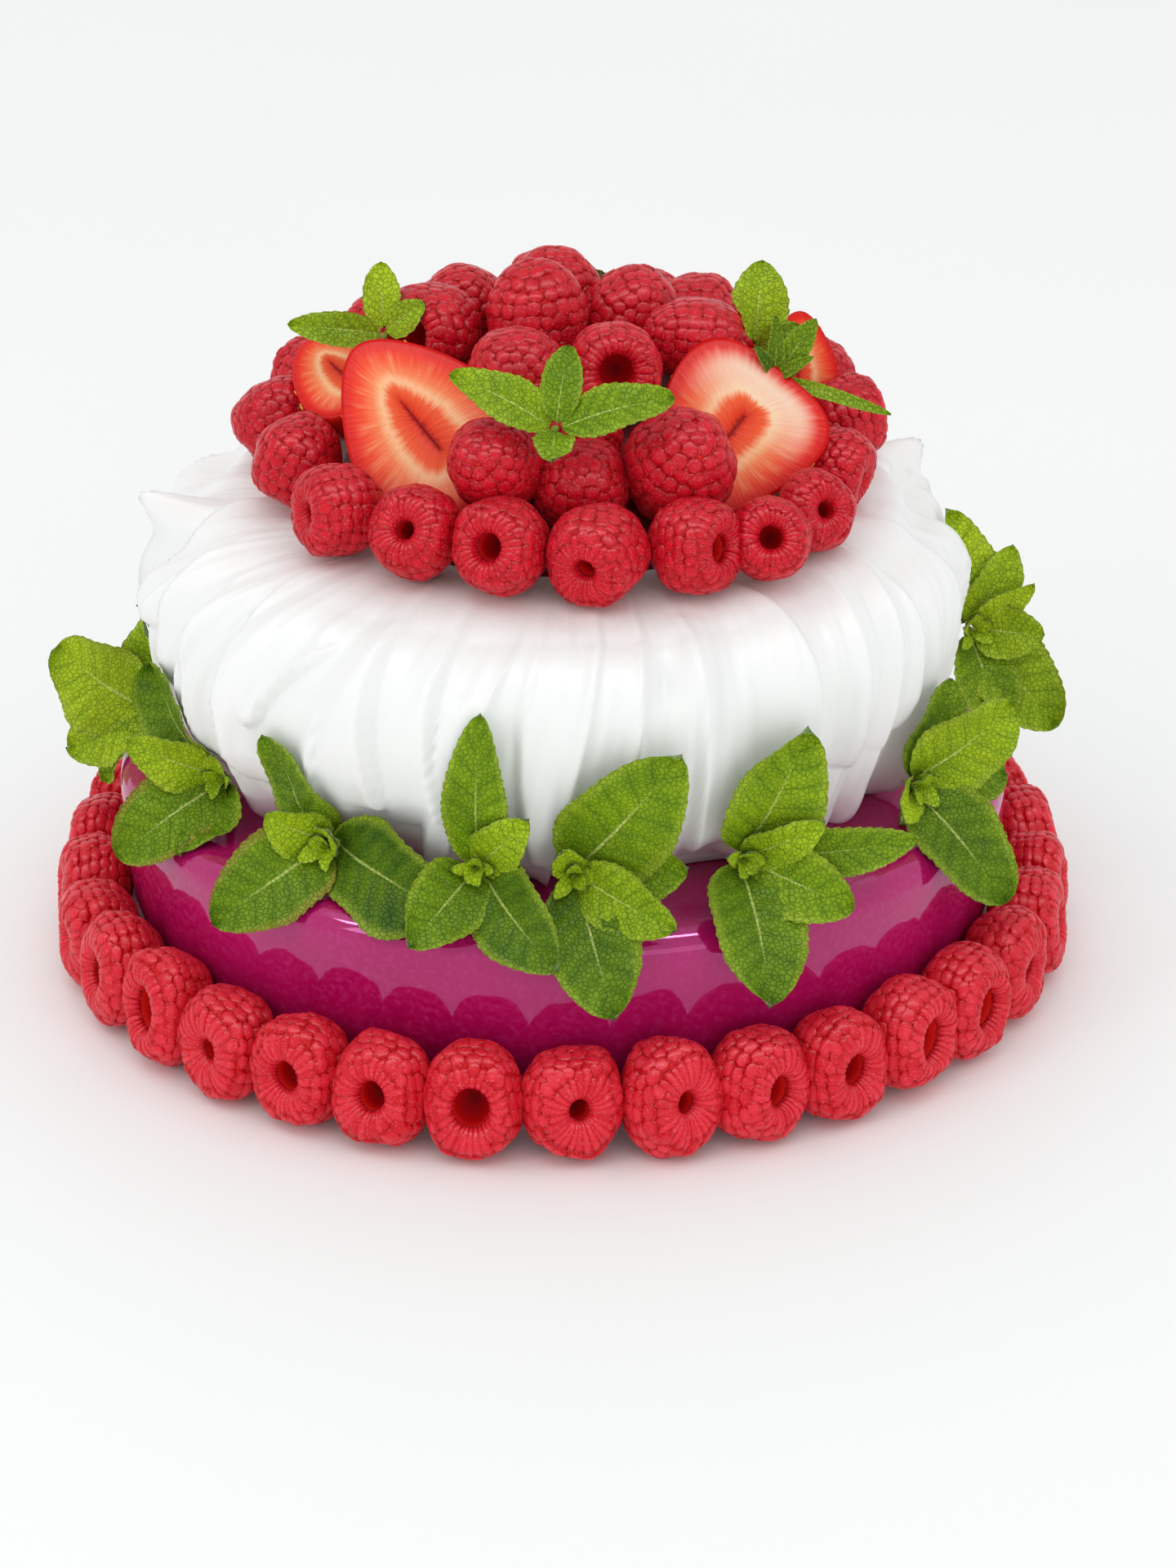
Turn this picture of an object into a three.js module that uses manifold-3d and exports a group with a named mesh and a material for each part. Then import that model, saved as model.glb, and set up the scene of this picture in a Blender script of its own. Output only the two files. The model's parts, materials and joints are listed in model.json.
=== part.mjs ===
// Fruit pavlova: a glazed mousse round, a pleated meringue on it, and berries and mint on both.
// Millimetres, +Z up. The origin is on the surface it stands on, below the middle of the cake.
// Azimuths are degrees round the cake, counted from the front (-Y) towards the right (+X).

import * as THREE from 'three';
import { mergeVertices } from 'three/addons/utils/BufferGeometryUtils.js';
import Module from 'manifold-3d';

const wasm = await Module();
wasm.setup();

// ---------------------------------------------------------------- driving dimensions

const GAP = 0.3; // left between pieces that touch

const MOUSSE_RADIUS = 104; // at the shoulder
const MOUSSE_FOOT_RADIUS = 99.5;
const MOUSSE_HEIGHT = 47;
const MOUSSE_SHOULDER = 6; // rounding of the top edge
const MOUSSE_SIDES = 50;

const MERINGUE_FOOT_RADIUS = 75;
const MERINGUE_RADIUS = 93.5; // at its widest, between ridge and scoop
const MERINGUE_WIDEST = 87; // height of the widest place
const MERINGUE_LID_RADIUS = 75;
const MERINGUE_TOP = 111; // in the middle of the lid
const PLEATS = 25;
const PLEAT_DEPTH = 7;
const PLEAT_SWIRL = 9; // degrees that a ridge turns from foot to lid
const PLEAT_COLUMNS = 4;
const MERINGUE_ROWS = 9;
// Ridges drawn out into a peak by the spatula: azimuth, and rise above the lid's edge.
const PEAKS = [[-84, 6], [-97, 3], [88, 5], [103, 8], [-35, 1.5], [140, 6], [-150, 7], [172, 5]];
const PEAK_SPREAD = 6; // degrees

const RING_COUNT = 34;
const RING_RADIUS = 110.7;
const RING_START = 1; // azimuth of the first berry
const RING_STRETCH = 1.2; // degrees by which the berries crowd at front and back
const RING_BERRY_HALF = { height: 13.2, depth: 8.9 };
const RING_TILT = 7; // the open ends look up by this much

const LID_SLOPE = 0.065; // the lid rises by this much per millimetre towards the back

// Berries that stand on the lid round the heap: azimuth, and distance from the middle.
const CROWN = [
  [7, 63.5], [25, 65], [39.5, 70], [55.5, 68.5], [77, 64.5], [98, 64.5], [117, 64.5], [135, 64],
  [153, 64], [171, 64], [189, 64], [207, 64], [225, 64], [243, 64.5], [262, 65.3], [285, 60.5],
  [311, 63.5], [329.5, 61], [348, 61],
];
const CROWN_BERRY_HALF = { width: 9.9, height: 10.6, depth: 9.6 };
const CROWN_TILT = 14;

const RING_BERRY_SIDES = 6;
const TOP_BERRY_SIDES = 6;
const CLOSED_BELOW_TILT = -30; // a berry lying on its open end shows no hollow
const BERRY_BUMP = 0.045; // drupelets, as a share of the berry's radius

const LEAF_THICKNESS = 0.8;
const LEAF_CLEARANCE = 1.4; // from a leaf's middle surface to what it lies on
const LEAF_STALK = 1.3; // from the middle of a sprig's head to where a leaf starts
const SPRIG_HEAD = 2.2; // radius of the head that the leaves grow from
const STEM_RADIUS = 1.2;

// ---------------------------------------------------------------- small helpers

const radians = (degrees) => (degrees * Math.PI) / 180;
const mix = (a, b, t) => a + (b - a) * t;

/** A repeatable draw between 0 and 1 for a whole number. */
function draw(seed) {
  const wave = Math.sin(seed * 12.9898 + 4.137) * 43758.5453;
  return wave - Math.floor(wave);
}

const spread = (seed, low, high) => mix(low, high, draw(seed));

/** A place on the cake by azimuth, distance from the middle and height. */
function around(azimuth, radius, z) {
  const a = radians(azimuth);
  return new THREE.Vector3(radius * Math.sin(a), -radius * Math.cos(a), z);
}

function finish(color, roughness) {
  return new THREE.MeshStandardMaterial({ color, roughness, metalness: 0 });
}

function named(name, geometry, material) {
  const mesh = new THREE.Mesh(geometry, material);
  mesh.name = name;
  return mesh;
}

/** Geometry from points and faces, turned so that its faces point out. */
function closedGeometry(points, faces) {
  let volume = 0;
  for (const [a, b, c] of faces) {
    volume += points[a].dot(points[b].clone().cross(points[c]));
  }
  const index = faces.flatMap(([a, b, c]) => (volume > 0 ? [a, b, c] : [a, c, b]));
  const geometry = new THREE.BufferGeometry();
  const xyz = points.flatMap((p) => [p.x, p.y, p.z]);
  geometry.setAttribute('position', new THREE.Float32BufferAttribute(xyz, 3));
  geometry.setIndex(index);
  return geometry;
}

/** Skin over equal rings of points, closed at each end by a point or, without one, flat. */
function skin(rings, startPoint, endPoint) {
  const sides = rings[0].length;
  const points = rings.flat();
  const faces = [];
  for (let r = 0; r + 1 < rings.length; r += 1) {
    for (let i = 0; i < sides; i += 1) {
      const a = r * sides + i;
      const b = r * sides + ((i + 1) % sides);
      faces.push([a, b, b + sides], [a, b + sides, a + sides]);
    }
  }
  const cap = (first, point, flip) => {
    const hub = point ? points.push(point) - 1 : first;
    for (let i = point ? 0 : 1; i < (point ? sides : sides - 1); i += 1) {
      const a = first + i;
      const b = first + ((i + 1) % sides);
      faces.push(flip ? [hub, b, a] : [hub, a, b]);
    }
  };
  cap(0, startPoint, true);
  cap((rings.length - 1) * sides, endPoint, false);
  return closedGeometry(points, faces);
}

function toSolid(geometry) {
  const bare = geometry.clone();
  bare.deleteAttribute('normal');
  bare.deleteAttribute('uv');
  const merged = mergeVertices(bare, 1e-4);
  const vertProperties = new Float32Array(merged.attributes.position.array);
  const triVerts = new Uint32Array(merged.index.array);
  return new wasm.Manifold(new wasm.Mesh({ numProp: 3, vertProperties, triVerts }));
}

function toGeometry(solid) {
  const { vertProperties, triVerts } = solid.getMesh();
  const geometry = new THREE.BufferGeometry();
  geometry.setAttribute('position', new THREE.BufferAttribute(vertProperties, 3));
  geometry.setIndex(new THREE.BufferAttribute(triVerts, 1));
  return geometry;
}

const joined = (solids) => solids.reduce((whole, solid) => whole.add(solid));

// ---------------------------------------------------------------- mousse

/** Outline from the middle of the flat foot, up the leaning side, to the middle of the top. */
function mousseGeometry() {
  const lean = Math.atan2(MOUSSE_RADIUS - MOUSSE_FOOT_RADIUS, MOUSSE_HEIGHT - MOUSSE_SHOULDER);
  const outline = new THREE.Path();
  outline.moveTo(0, 0);
  outline.lineTo(MOUSSE_FOOT_RADIUS, 0);
  outline.absarc(
    MOUSSE_RADIUS - MOUSSE_SHOULDER,
    MOUSSE_HEIGHT - MOUSSE_SHOULDER,
    MOUSSE_SHOULDER,
    -lean,
    Math.PI / 2,
    false,
  );
  outline.lineTo(0, MOUSSE_HEIGHT);
  return new THREE.LatheGeometry(outline.getPoints(2), MOUSSE_SIDES).rotateX(Math.PI / 2);
}

/** Moves a point of a leaf out of the mousse until it is clear of it. */
function clearOfMousse(point) {
  const radius = Math.hypot(point.x, point.y);
  const over = new THREE.Vector2(
    radius - (MOUSSE_RADIUS - MOUSSE_SHOULDER),
    point.z - (MOUSSE_HEIGHT - MOUSSE_SHOULDER),
  );
  const wanted = MOUSSE_SHOULDER + 1.6 * LEAF_CLEARANCE;
  const onCorner = over.x > 0 && over.y > 0;
  if (onCorner && over.length() < wanted) {
    over.setLength(wanted);
  } else if (!onCorner && Math.max(over.x, over.y) < wanted) {
    over[over.x > over.y ? 'x' : 'y'] = wanted;
  }
  const grown = (over.x + MOUSSE_RADIUS - MOUSSE_SHOULDER) / radius;
  return point.set(point.x * grown, point.y * grown, over.y + MOUSSE_HEIGHT - MOUSSE_SHOULDER);
}

// ---------------------------------------------------------------- meringue

const MERINGUE_FOOT = MOUSSE_HEIGHT + GAP;

/** Side of the meringue from foot to lid, as radius and height. */
const meringueSide = new THREE.SplineCurve([
  new THREE.Vector2(MERINGUE_FOOT_RADIUS, MERINGUE_FOOT),
  new THREE.Vector2(MERINGUE_FOOT_RADIUS + 10, MERINGUE_FOOT + 10),
  new THREE.Vector2(MERINGUE_RADIUS - 3.5, MERINGUE_FOOT + 22),
  new THREE.Vector2(MERINGUE_RADIUS, MERINGUE_WIDEST),
  new THREE.Vector2(MERINGUE_RADIUS - 3.5, MERINGUE_WIDEST + 12),
  new THREE.Vector2(MERINGUE_LID_RADIUS + 8, MERINGUE_TOP - 2),
  new THREE.Vector2(MERINGUE_LID_RADIUS, MERINGUE_TOP),
]);

/** Lifts a point with the slope of the lid. */
function onSlope(point) {
  point.z += LID_SLOPE * point.y;
  return point;
}

/** Azimuth of a place across the pleats, whose widths differ, at a share t of the side. */
function pleatAzimuth(place, t) {
  const even = (360 * place) / PLEATS;
  const uneven = 3.2 * Math.sin(radians(3 * even + 40)) + 2 * Math.sin(radians(7 * even + 200));
  const sway = 2.5 * Math.sin(radians(2 * even + 180 * t));
  return even + uneven + sway + PLEAT_SWIRL * (t - 0.5);
}

/** How far the spatula's scoop cuts in between two ridges, 0 on a ridge to 1. */
function scoop(place) {
  const share = place - Math.floor(place);
  const skew = mix(0.55, 1.5, draw(Math.floor(place) + 300));
  return Math.sin(Math.PI * share ** skew) ** 0.8;
}

/** Extra height of the drawn-out peaks at an azimuth. */
function peakRise(azimuth) {
  let rise = 0;
  for (const [middle, height] of PEAKS) {
    const off = Math.abs(((azimuth - middle + 540) % 360) - 180);
    rise += height * Math.max(0, 1 - off / PEAK_SPREAD);
  }
  return rise;
}

function meringuePoint(place, t) {
  const side = meringueSide.getPoint(t);
  const azimuth = pleatAzimuth(place, t);
  const pleat = Math.floor(place) % PLEATS;
  const depth = PLEAT_DEPTH * spread(pleat + 500, 0.55, 1.1);
  const strength = mix(0.75, 1, Math.sin(Math.PI * Math.min(1, t * 1.1))) * mix(1, 0.35, t ** 4);
  const cut = depth * strength * (scoop(place) - 0.4);
  const lip = Math.exp(-(((t - 0.8) / 0.13) ** 2));
  const rise = peakRise(azimuth) * lip * (1 - scoop(place));
  const point = around(azimuth, side.x - cut + 0.3 * rise, side.y + rise);
  point.z += LID_SLOPE * point.y * t ** 2;
  return point;
}

function meringueGeometry() {
  const rings = [];
  for (let row = 0; row <= MERINGUE_ROWS; row += 1) {
    const ring = [];
    for (let column = 0; column < PLEATS * PLEAT_COLUMNS; column += 1) {
      ring.push(meringuePoint(column / PLEAT_COLUMNS, row / MERINGUE_ROWS));
    }
    rings.push(ring);
  }
  for (const point of rings[0]) point.z = MERINGUE_FOOT;
  for (const point of rings[MERINGUE_ROWS]) onSlope(point.setZ(MERINGUE_TOP));
  const foot = new THREE.Vector3(0, 0, MERINGUE_FOOT);
  const lid = new THREE.Vector3(0, 0, MERINGUE_TOP);
  return skin(rings, foot, lid);
}

/** Moves a point of a leaf outwards until it is clear of the meringue's ridges. */
function clearOfMeringue(point) {
  let ridge = 0;
  for (let t = 0; t <= 1; t += 0.02) {
    const side = meringueSide.getPoint(t);
    if (Math.abs(side.y - point.z) < 4) ridge = Math.max(ridge, side.x);
  }
  const grown = (ridge + 0.42 * PLEAT_DEPTH + LEAF_CLEARANCE) / Math.hypot(point.x, point.y);
  return grown > 1 && ridge > 0 ? point.set(point.x * grown, point.y * grown, point.z) : point;
}

// ---------------------------------------------------------------- raspberries

/** Outline of a raspberry from its tip to the rim of its open end: radius and place on the axis. */
const BERRY_OUTLINE = [[0.66, -0.76], [1, -0.16], [0.93, 0.52], [0.5, 1]];
const BERRY_HOLLOW_BOTTOM = 0.15;
const BERRY_CLOSED_END = 1.04;

/** A raspberry round its own +Z, which looks out of its open end unless that is closed. */
function berryGeometry(half, sides, seed, closed) {
  const rings = BERRY_OUTLINE.map(([radius, z], row) => {
    const ring = [];
    for (let side = 0; side < sides; side += 1) {
      const angle = radians((360 * (side + (row % 2) / 2)) / sides);
      const bump = 1 + (row < 3 ? spread(seed * 7 + row * 11 + side, -1, 1) * BERRY_BUMP : 0);
      ring.push(new THREE.Vector3(
        half.width * radius * bump * Math.cos(angle),
        half.height * radius * bump * Math.sin(angle),
        half.depth * z,
      ));
    }
    return ring;
  });
  const tip = new THREE.Vector3(0, 0, -half.depth);
  const end = half.depth * (closed ? BERRY_CLOSED_END : BERRY_HOLLOW_BOTTOM);
  return skin(rings, tip, new THREE.Vector3(0, 0, end));
}

/** Turn that points +Z at an azimuth, raised by a tilt, and keeps +X level. */
function facing(azimuth, tilt) {
  const right = around(azimuth + 90, 1, 0);
  const out = around(azimuth, Math.cos(radians(tilt)), Math.sin(radians(tilt)));
  const up = out.clone().cross(right);
  return new THREE.Quaternion().setFromRotationMatrix(new THREE.Matrix4().makeBasis(right, up, out));
}

/** Azimuth of a place in the base ring, whose berries crowd at front and back. */
function ringAzimuth(place) {
  const even = RING_START + (360 * place) / RING_COUNT;
  return even - RING_STRETCH * Math.sin(radians(2 * even));
}

function ringBerry(number, material) {
  const azimuth = ringAzimuth(number);
  const room = radians(ringAzimuth(number + 0.5) - ringAzimuth(number - 0.5)) * RING_RADIUS;
  const half = {
    width: (room / 2) * spread(number + 40, 0.955, 0.985),
    height: RING_BERRY_HALF.height * spread(number + 80, 0.95, 1.03),
    depth: RING_BERRY_HALF.depth * spread(number + 120, 0.97, 1.03),
  };
  const name = `ring_raspberry_${String(number + 1).padStart(2, '0')}`;
  const berry = named(name, berryGeometry(half, RING_BERRY_SIDES, number, false), material);
  berry.quaternion.copy(facing(azimuth, RING_TILT + spread(number + 160, -4, 5)));
  berry.position.copy(around(azimuth, RING_RADIUS + spread(number + 200, -0.3, 0.5), 0));
  berry.position.z = -new THREE.Box3().setFromObject(berry, true).min.z;
  return berry;
}

// ---------------------------------------------------------------- heap of raspberries on top

/** The heap above the crown: middle, half sizes, and where the open end looks. */
const HEAP_BERRIES = [
  { at: [-14.7, -46, 131.5], half: [10, 10, 10.5], azimuth: 150, tilt: -35 },
  { at: [4, -44, 127], half: [10.6, 10, 10], azimuth: 180, tilt: -40 },
  { at: [25.5, -43, 130.5], half: [11.6, 11.6, 12.3], azimuth: 200, tilt: -45 },
  { at: [-10, -21, 143.3], half: [10.6, 10.4, 11], azimuth: 170, tilt: -50 },
  { at: [11.4, -19.5, 144.5], half: [10.2, 10.2, 9], azimuth: 4, tilt: 24 },
  { at: [-5.8, 2, 151], half: [11, 11, 12], azimuth: 30, tilt: -80 },
  { at: [15.4, 12, 146], half: [10.4, 10.4, 11.5], azimuth: 240, tilt: -60 },
  { at: [28.8, -3, 145], half: [9.4, 9.4, 11], azimuth: 100, tilt: -12 },
  { at: [-28.2, 8, 144.3], half: [11, 10.5, 10], azimuth: -48, tilt: 26 },
  { at: [-23, 27, 143], half: [9.8, 9.8, 10.4], azimuth: 170, tilt: -60 },
  { at: [-1.5, 23, 148.5], half: [10, 10, 10.6], azimuth: 200, tilt: -70 },
  { at: [31, 33, 138.5], half: [9.6, 9.6, 10], azimuth: 170, tilt: 10 },
  { at: [-42, 31, 133], half: [10.4, 10, 10.4], azimuth: -120, tilt: 20 },
  { at: [-25, 46, 135], half: [10, 10.4, 10], azimuth: 215, tilt: -30 },
  { at: [-3, 44.5, 139], half: [10.8, 10.8, 10.6], azimuth: 182, tilt: 18 },
  { at: [19, 49, 136], half: [10, 10, 10.6], azimuth: 160, tilt: -35 },
  { at: [44, 37, 131], half: [9.8, 9.8, 10], azimuth: 130, tilt: 25 },
];

const HEAP_FOOT = MERINGUE_TOP + GAP;
/** Outline of the heap's core: the berries that nobody sees. */
const HEAP_CORE = [[0, 0], [61.5, 0], [61.5, 4], [50, 14.5], [30, 26.5], [0, 33]];
const HEAP_CORE_SIDES = 15;

function crownBerry([azimuth, radius], number) {
  const size = spread(number + 640, 0.97, 1.04);
  const half = [CROWN_BERRY_HALF.width, CROWN_BERRY_HALF.height, CROWN_BERRY_HALF.depth];
  const middle = around(azimuth, radius, HEAP_FOOT + CROWN_BERRY_HALF.height * size * (1 + BERRY_BUMP));
  return {
    at: onSlope(middle).toArray(),
    half: half.map((value) => value * size),
    azimuth: azimuth + spread(number + 680, -28, 28),
    tilt: CROWN_TILT + spread(number + 720, -12, 12),
  };
}

const topBerries = [...CROWN.map(crownBerry), ...HEAP_BERRIES];

function topBerrySolid(berry, seed) {
  const [width, height, depth] = berry.half;
  const closed = berry.tilt < CLOSED_BELOW_TILT;
  const geometry = berryGeometry({ width, height, depth }, TOP_BERRY_SIDES, seed, closed);
  const turn = facing(berry.azimuth, berry.tilt);
  const place = new THREE.Matrix4().makeRotationFromQuaternion(turn).setPosition(...berry.at);
  return toSolid(geometry.applyMatrix4(place));
}

function heapGeometry(cutters) {
  const outline = HEAP_CORE.map(([radius, z]) => new THREE.Vector2(radius, z + HEAP_FOOT));
  const core = new THREE.LatheGeometry(outline, HEAP_CORE_SIDES).rotateX(Math.PI / 2);
  core.applyMatrix4(new THREE.Matrix4().makeShear(0, 0, 0, LID_SLOPE, 0, 0));
  const berries = topBerries.map((berry, number) => topBerrySolid(berry, number + 50));
  const heap = joined([toSolid(core), ...berries]);
  const cleared = cutters.reduce((rest, cutter) => rest.subtract(cutter), heap);
  const pieces = cleared.decompose();
  return toGeometry(pieces.sort((a, b) => b.volume() - a.volume())[0]);
}

/** Moves a point of a leaf off the berries of the heap until it lies on them. */
function clearOfHeap(point) {
  for (const berry of topBerries) {
    const middle = new THREE.Vector3(...berry.at);
    const reach = Math.max(...berry.half) + LEAF_CLEARANCE;
    const off = point.clone().sub(middle);
    if (off.length() < reach) point.copy(middle).add(off.setLength(reach));
  }
  return point;
}

// ---------------------------------------------------------------- strawberries

/** Half width of a strawberry along its length from stem end (0) to tip (1). */
const STRAWBERRY_OUTLINE = [[0, 0.5], [0.1, 0.86], [0.28, 1], [0.52, 0.9], [0.76, 0.62], [0.94, 0.24]];
const STRAWBERRY_SIDES = 7;

/** Halved strawberries: middle of the cut face, where the face and the tip look, and sizes. */
const STRAWBERRIES = {
  strawberry_half_left: {
    at: [-31.5, -27, 134], azimuth: -12, tilt: 36, tipTurn: 45, length: 46, width: 38, depth: 14,
  },
  strawberry_half_right: {
    at: [37.4, -25.5, 130.5], azimuth: 10, tilt: 36, tipTurn: 137, length: 42, width: 37, depth: 14,
  },
  strawberry_half_back_left: {
    at: [-50.5, 4, 135.7], azimuth: -30, tilt: 66, tipTurn: 60, length: 30, width: 25, depth: 13,
  },
  strawberry_half_back_right: {
    at: [54, 15, 132.6], azimuth: 20, tilt: 25, tipTurn: -12, length: 26, width: 22, depth: 9,
  },
};

/** The frame of a halved strawberry: face normal, direction of the tip, and across. */
function strawberryFrame(berry) {
  const turn = facing(berry.azimuth, berry.tilt);
  const normal = new THREE.Vector3(0, 0, 1).applyQuaternion(turn);
  const lean = radians(berry.tipTurn);
  const tip = new THREE.Vector3(-Math.sin(lean), Math.cos(lean), 0).applyQuaternion(turn);
  return { normal, tip, across: normal.clone().cross(tip), middle: new THREE.Vector3(...berry.at) };
}

function strawberryGeometry(berry, grow) {
  const { normal, tip, across, middle } = strawberryFrame(berry);
  const place = (along, aside, deep) => middle.clone()
    .addScaledVector(tip, along)
    .addScaledVector(across, aside)
    .addScaledVector(normal, deep);
  const length = berry.length + 2 * grow;
  const rings = STRAWBERRY_OUTLINE.map(([share, wide]) => {
    const ring = [];
    for (let side = 0; side <= STRAWBERRY_SIDES; side += 1) {
      const angle = (Math.PI * side) / STRAWBERRY_SIDES;
      const aside = (berry.width / 2 + grow) * wide * Math.cos(angle);
      const deep = grow - (berry.depth + 2 * grow) * wide * Math.sin(angle);
      ring.push(place((share - 0.5) * length, aside, deep));
    }
    return ring;
  });
  return skin(rings, null, place(length / 2, 0, grow - 0.3));
}

/** Green sepals at the stem end of the strawberry on the right: turn, length, width and lift. */
const SEPALS = [[69, 27, 5, 1], [-3, 14, 7, 8], [-43, 11, 4.5, 8]];

function sepalSolids(berry) {
  const { normal, tip, across, middle } = strawberryFrame(berry);
  const base = middle.clone().addScaledVector(tip, -berry.length * 0.46).addScaledVector(normal, -2.5);
  return SEPALS.map(([turn, length, width, lift]) => {
    const end = base.clone()
      .addScaledVector(tip, -length * Math.cos(radians(turn)))
      .addScaledVector(across, length * Math.sin(radians(turn)))
      .addScaledVector(normal, lift);
    const sepal = leafGeometry({ base, end, width, face: normal, cells: 3, bow: 1 }, clearOfHeap);
    return toSolid(sepal);
  });
}

function strawberryNodeGeometry(name) {
  const berry = STRAWBERRIES[name];
  const half = strawberryGeometry(berry, 0);
  if (name !== 'strawberry_half_right') return half;
  return toGeometry(joined([toSolid(half), ...sepalSolids(berry)]));
}

// ---------------------------------------------------------------- mint

/** Half width of a mint leaf at a share of its length, as a share of its widest. */
const leafHalfWidth = (share) => Math.sin(Math.PI * share ** 0.82) ** 0.8;

/** A thin leaf between two points, arched along its length, with a folded middle and wavy rims. */
function leafGeometry({ base, end, width, face, cells, bow }, settle) {
  const along = end.clone().sub(base);
  const across = face.clone().cross(along).normalize();
  const normal = along.clone().cross(across).normalize();
  const middle = [base.clone()];
  for (let row = 1; row < cells; row += 1) {
    const share = row / cells;
    const half = (width / 2) * leafHalfWidth(share);
    for (const side of [-1, 0, 1]) {
      const wave = side === 0 ? -0.06 * width : 0.05 * width * (row % 2 ? 1 : -1) * side;
      const point = base.clone()
        .addScaledVector(along, share)
        .addScaledVector(across, side * half)
        .addScaledVector(normal, wave + bow * 4 * share * (1 - share));
      middle.push(settle(point));
    }
  }
  middle.push(settle(end.clone()));
  const raised = (lift) => middle.map((point) => point.clone().addScaledVector(normal, lift));
  const points = [...raised(LEAF_THICKNESS / 2), ...raised(-LEAF_THICKNESS / 2)];
  return closedGeometry(points, leafFaces(cells, middle.length));
}

/** Faces of a leaf: both sides split alike, and the rim between them. */
function leafFaces(cells, count) {
  const tip = count - 1;
  const at = (row, column) => 1 + (row - 1) * 3 + column;
  const side = [[0, at(1, 0), at(1, 1)], [0, at(1, 1), at(1, 2)]];
  for (let row = 1; row < cells - 1; row += 1) {
    for (const column of [0, 1]) {
      const [a, b] = [at(row, column), at(row, column + 1)];
      side.push([a, a + 3, b + 3], [a, b + 3, b]);
    }
  }
  side.push([at(cells - 1, 0), tip, at(cells - 1, 1)], [at(cells - 1, 1), tip, at(cells - 1, 2)]);
  const rows = Array.from({ length: cells - 1 }, (_, index) => index + 1);
  const rim = [0, ...rows.map((row) => at(row, 0)), tip, ...rows.reverse().map((row) => at(row, 2))];
  const edge = rim.flatMap((a, i) => {
    const b = rim[(i + 1) % rim.length];
    return [[b, a, a + count], [b, a + count, b + count]];
  });
  return [...side, ...side.map(([a, b, c]) => [a + count, c + count, b + count]), ...edge];
}

/** A short tapered stem between two points. */
function stemSolid(from, to, radius) {
  const length = from.distanceTo(to);
  const stem = new THREE.CylinderGeometry(radius * 1.3, radius, length, 4);
  stem.translate(0, length / 2, 0);
  const direction = to.clone().sub(from).normalize();
  const turn = new THREE.Quaternion().setFromUnitVectors(new THREE.Vector3(0, 1, 0), direction);
  stem.applyQuaternion(turn).translate(from.x, from.y, from.z);
  return toSolid(stem);
}

/**
 * A sprig: a stem from foot to head, and leaves fanned round the head. A leaf is its turn in
 * degrees clockwise from up, as seen from where the sprig faces, its lean towards there, its
 * length and its width.
 */
function sprigGeometry({ foot, head, azimuth, tilt, leaves }, settle) {
  const turn = facing(azimuth, tilt);
  const face = new THREE.Vector3(0, 0, 1).applyQuaternion(turn);
  const knot = new THREE.OctahedronGeometry(SPRIG_HEAD, 0).translate(head.x, head.y, head.z);
  const solids = [toSolid(knot), stemSolid(foot, head, STEM_RADIUS)];
  for (const [clock, lean, length, width] of leaves) {
    const flat = length * Math.cos(radians(lean));
    const reach = new THREE.Vector3(
      flat * Math.sin(radians(clock)),
      flat * Math.cos(radians(clock)),
      length * Math.sin(radians(lean)),
    ).applyQuaternion(turn);
    const leaf = {
      base: head.clone().addScaledVector(reach, LEAF_STALK / length),
      end: head.clone().add(reach),
      width,
      face,
      cells: Math.min(4, 2 + Math.floor(length / 13)),
      bow: length * 0.1,
    };
    solids.push(toSolid(leafGeometry(leaf, settle)));
  }
  return toGeometry(joined(solids));
}

// Leaves of the sprigs: turn, lean, length and width.
const FAR_LEFT = [[-69, 22, 26, 22], [11, 0, 25, 13], [-121, 15, 21, 13], [-152, 10, 18, 9]];
const LEFT = [
  [-50, 5, 31, 20], [-66, 40, 22, 11], [-140, 35, 28, 17], [178, 30, 18, 13],
];
const FRONT_LEFT = [
  [-26, 5, 26, 15], [-135, 35, 31, 20], [104, 13, 31, 23], [-58, 45, 16, 11], [40, 55, 10, 7],
];
const FRONT_UPRIGHT = [
  [3, 20, 38, 11], [42, 30, 19, 10], [-142, 46, 23, 14], [129, 32, 29, 17],
];
const FRONT = [
  [38, 22, 38, 20], [156, 36, 32, 18], [112, 38, 26, 11], [84, 18, 24, 14],
];
const FRONT_RIGHT = [
  [23, 22, 36, 19], [184, 36, 32, 19], [118, 35, 25, 13], [58, 40, 20, 8], [85, 16, 38, 10],
];
const RIGHT = [
  [61, 25, 34, 19], [151, 30, 37, 18], [38, 5, 26, 11], [98, 0, 34, 12],
];
const FAR_RIGHT = [[-5, 0, 27, 16], [52, 30, 17, 6], [98, 35, 16, 11], [144, 12, 30, 17]];
const BACK = [[-38, 15, 32, 18], [37, 22, 30, 16], [-128, 36, 27, 16], [146, 36, 29, 17]];

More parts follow.
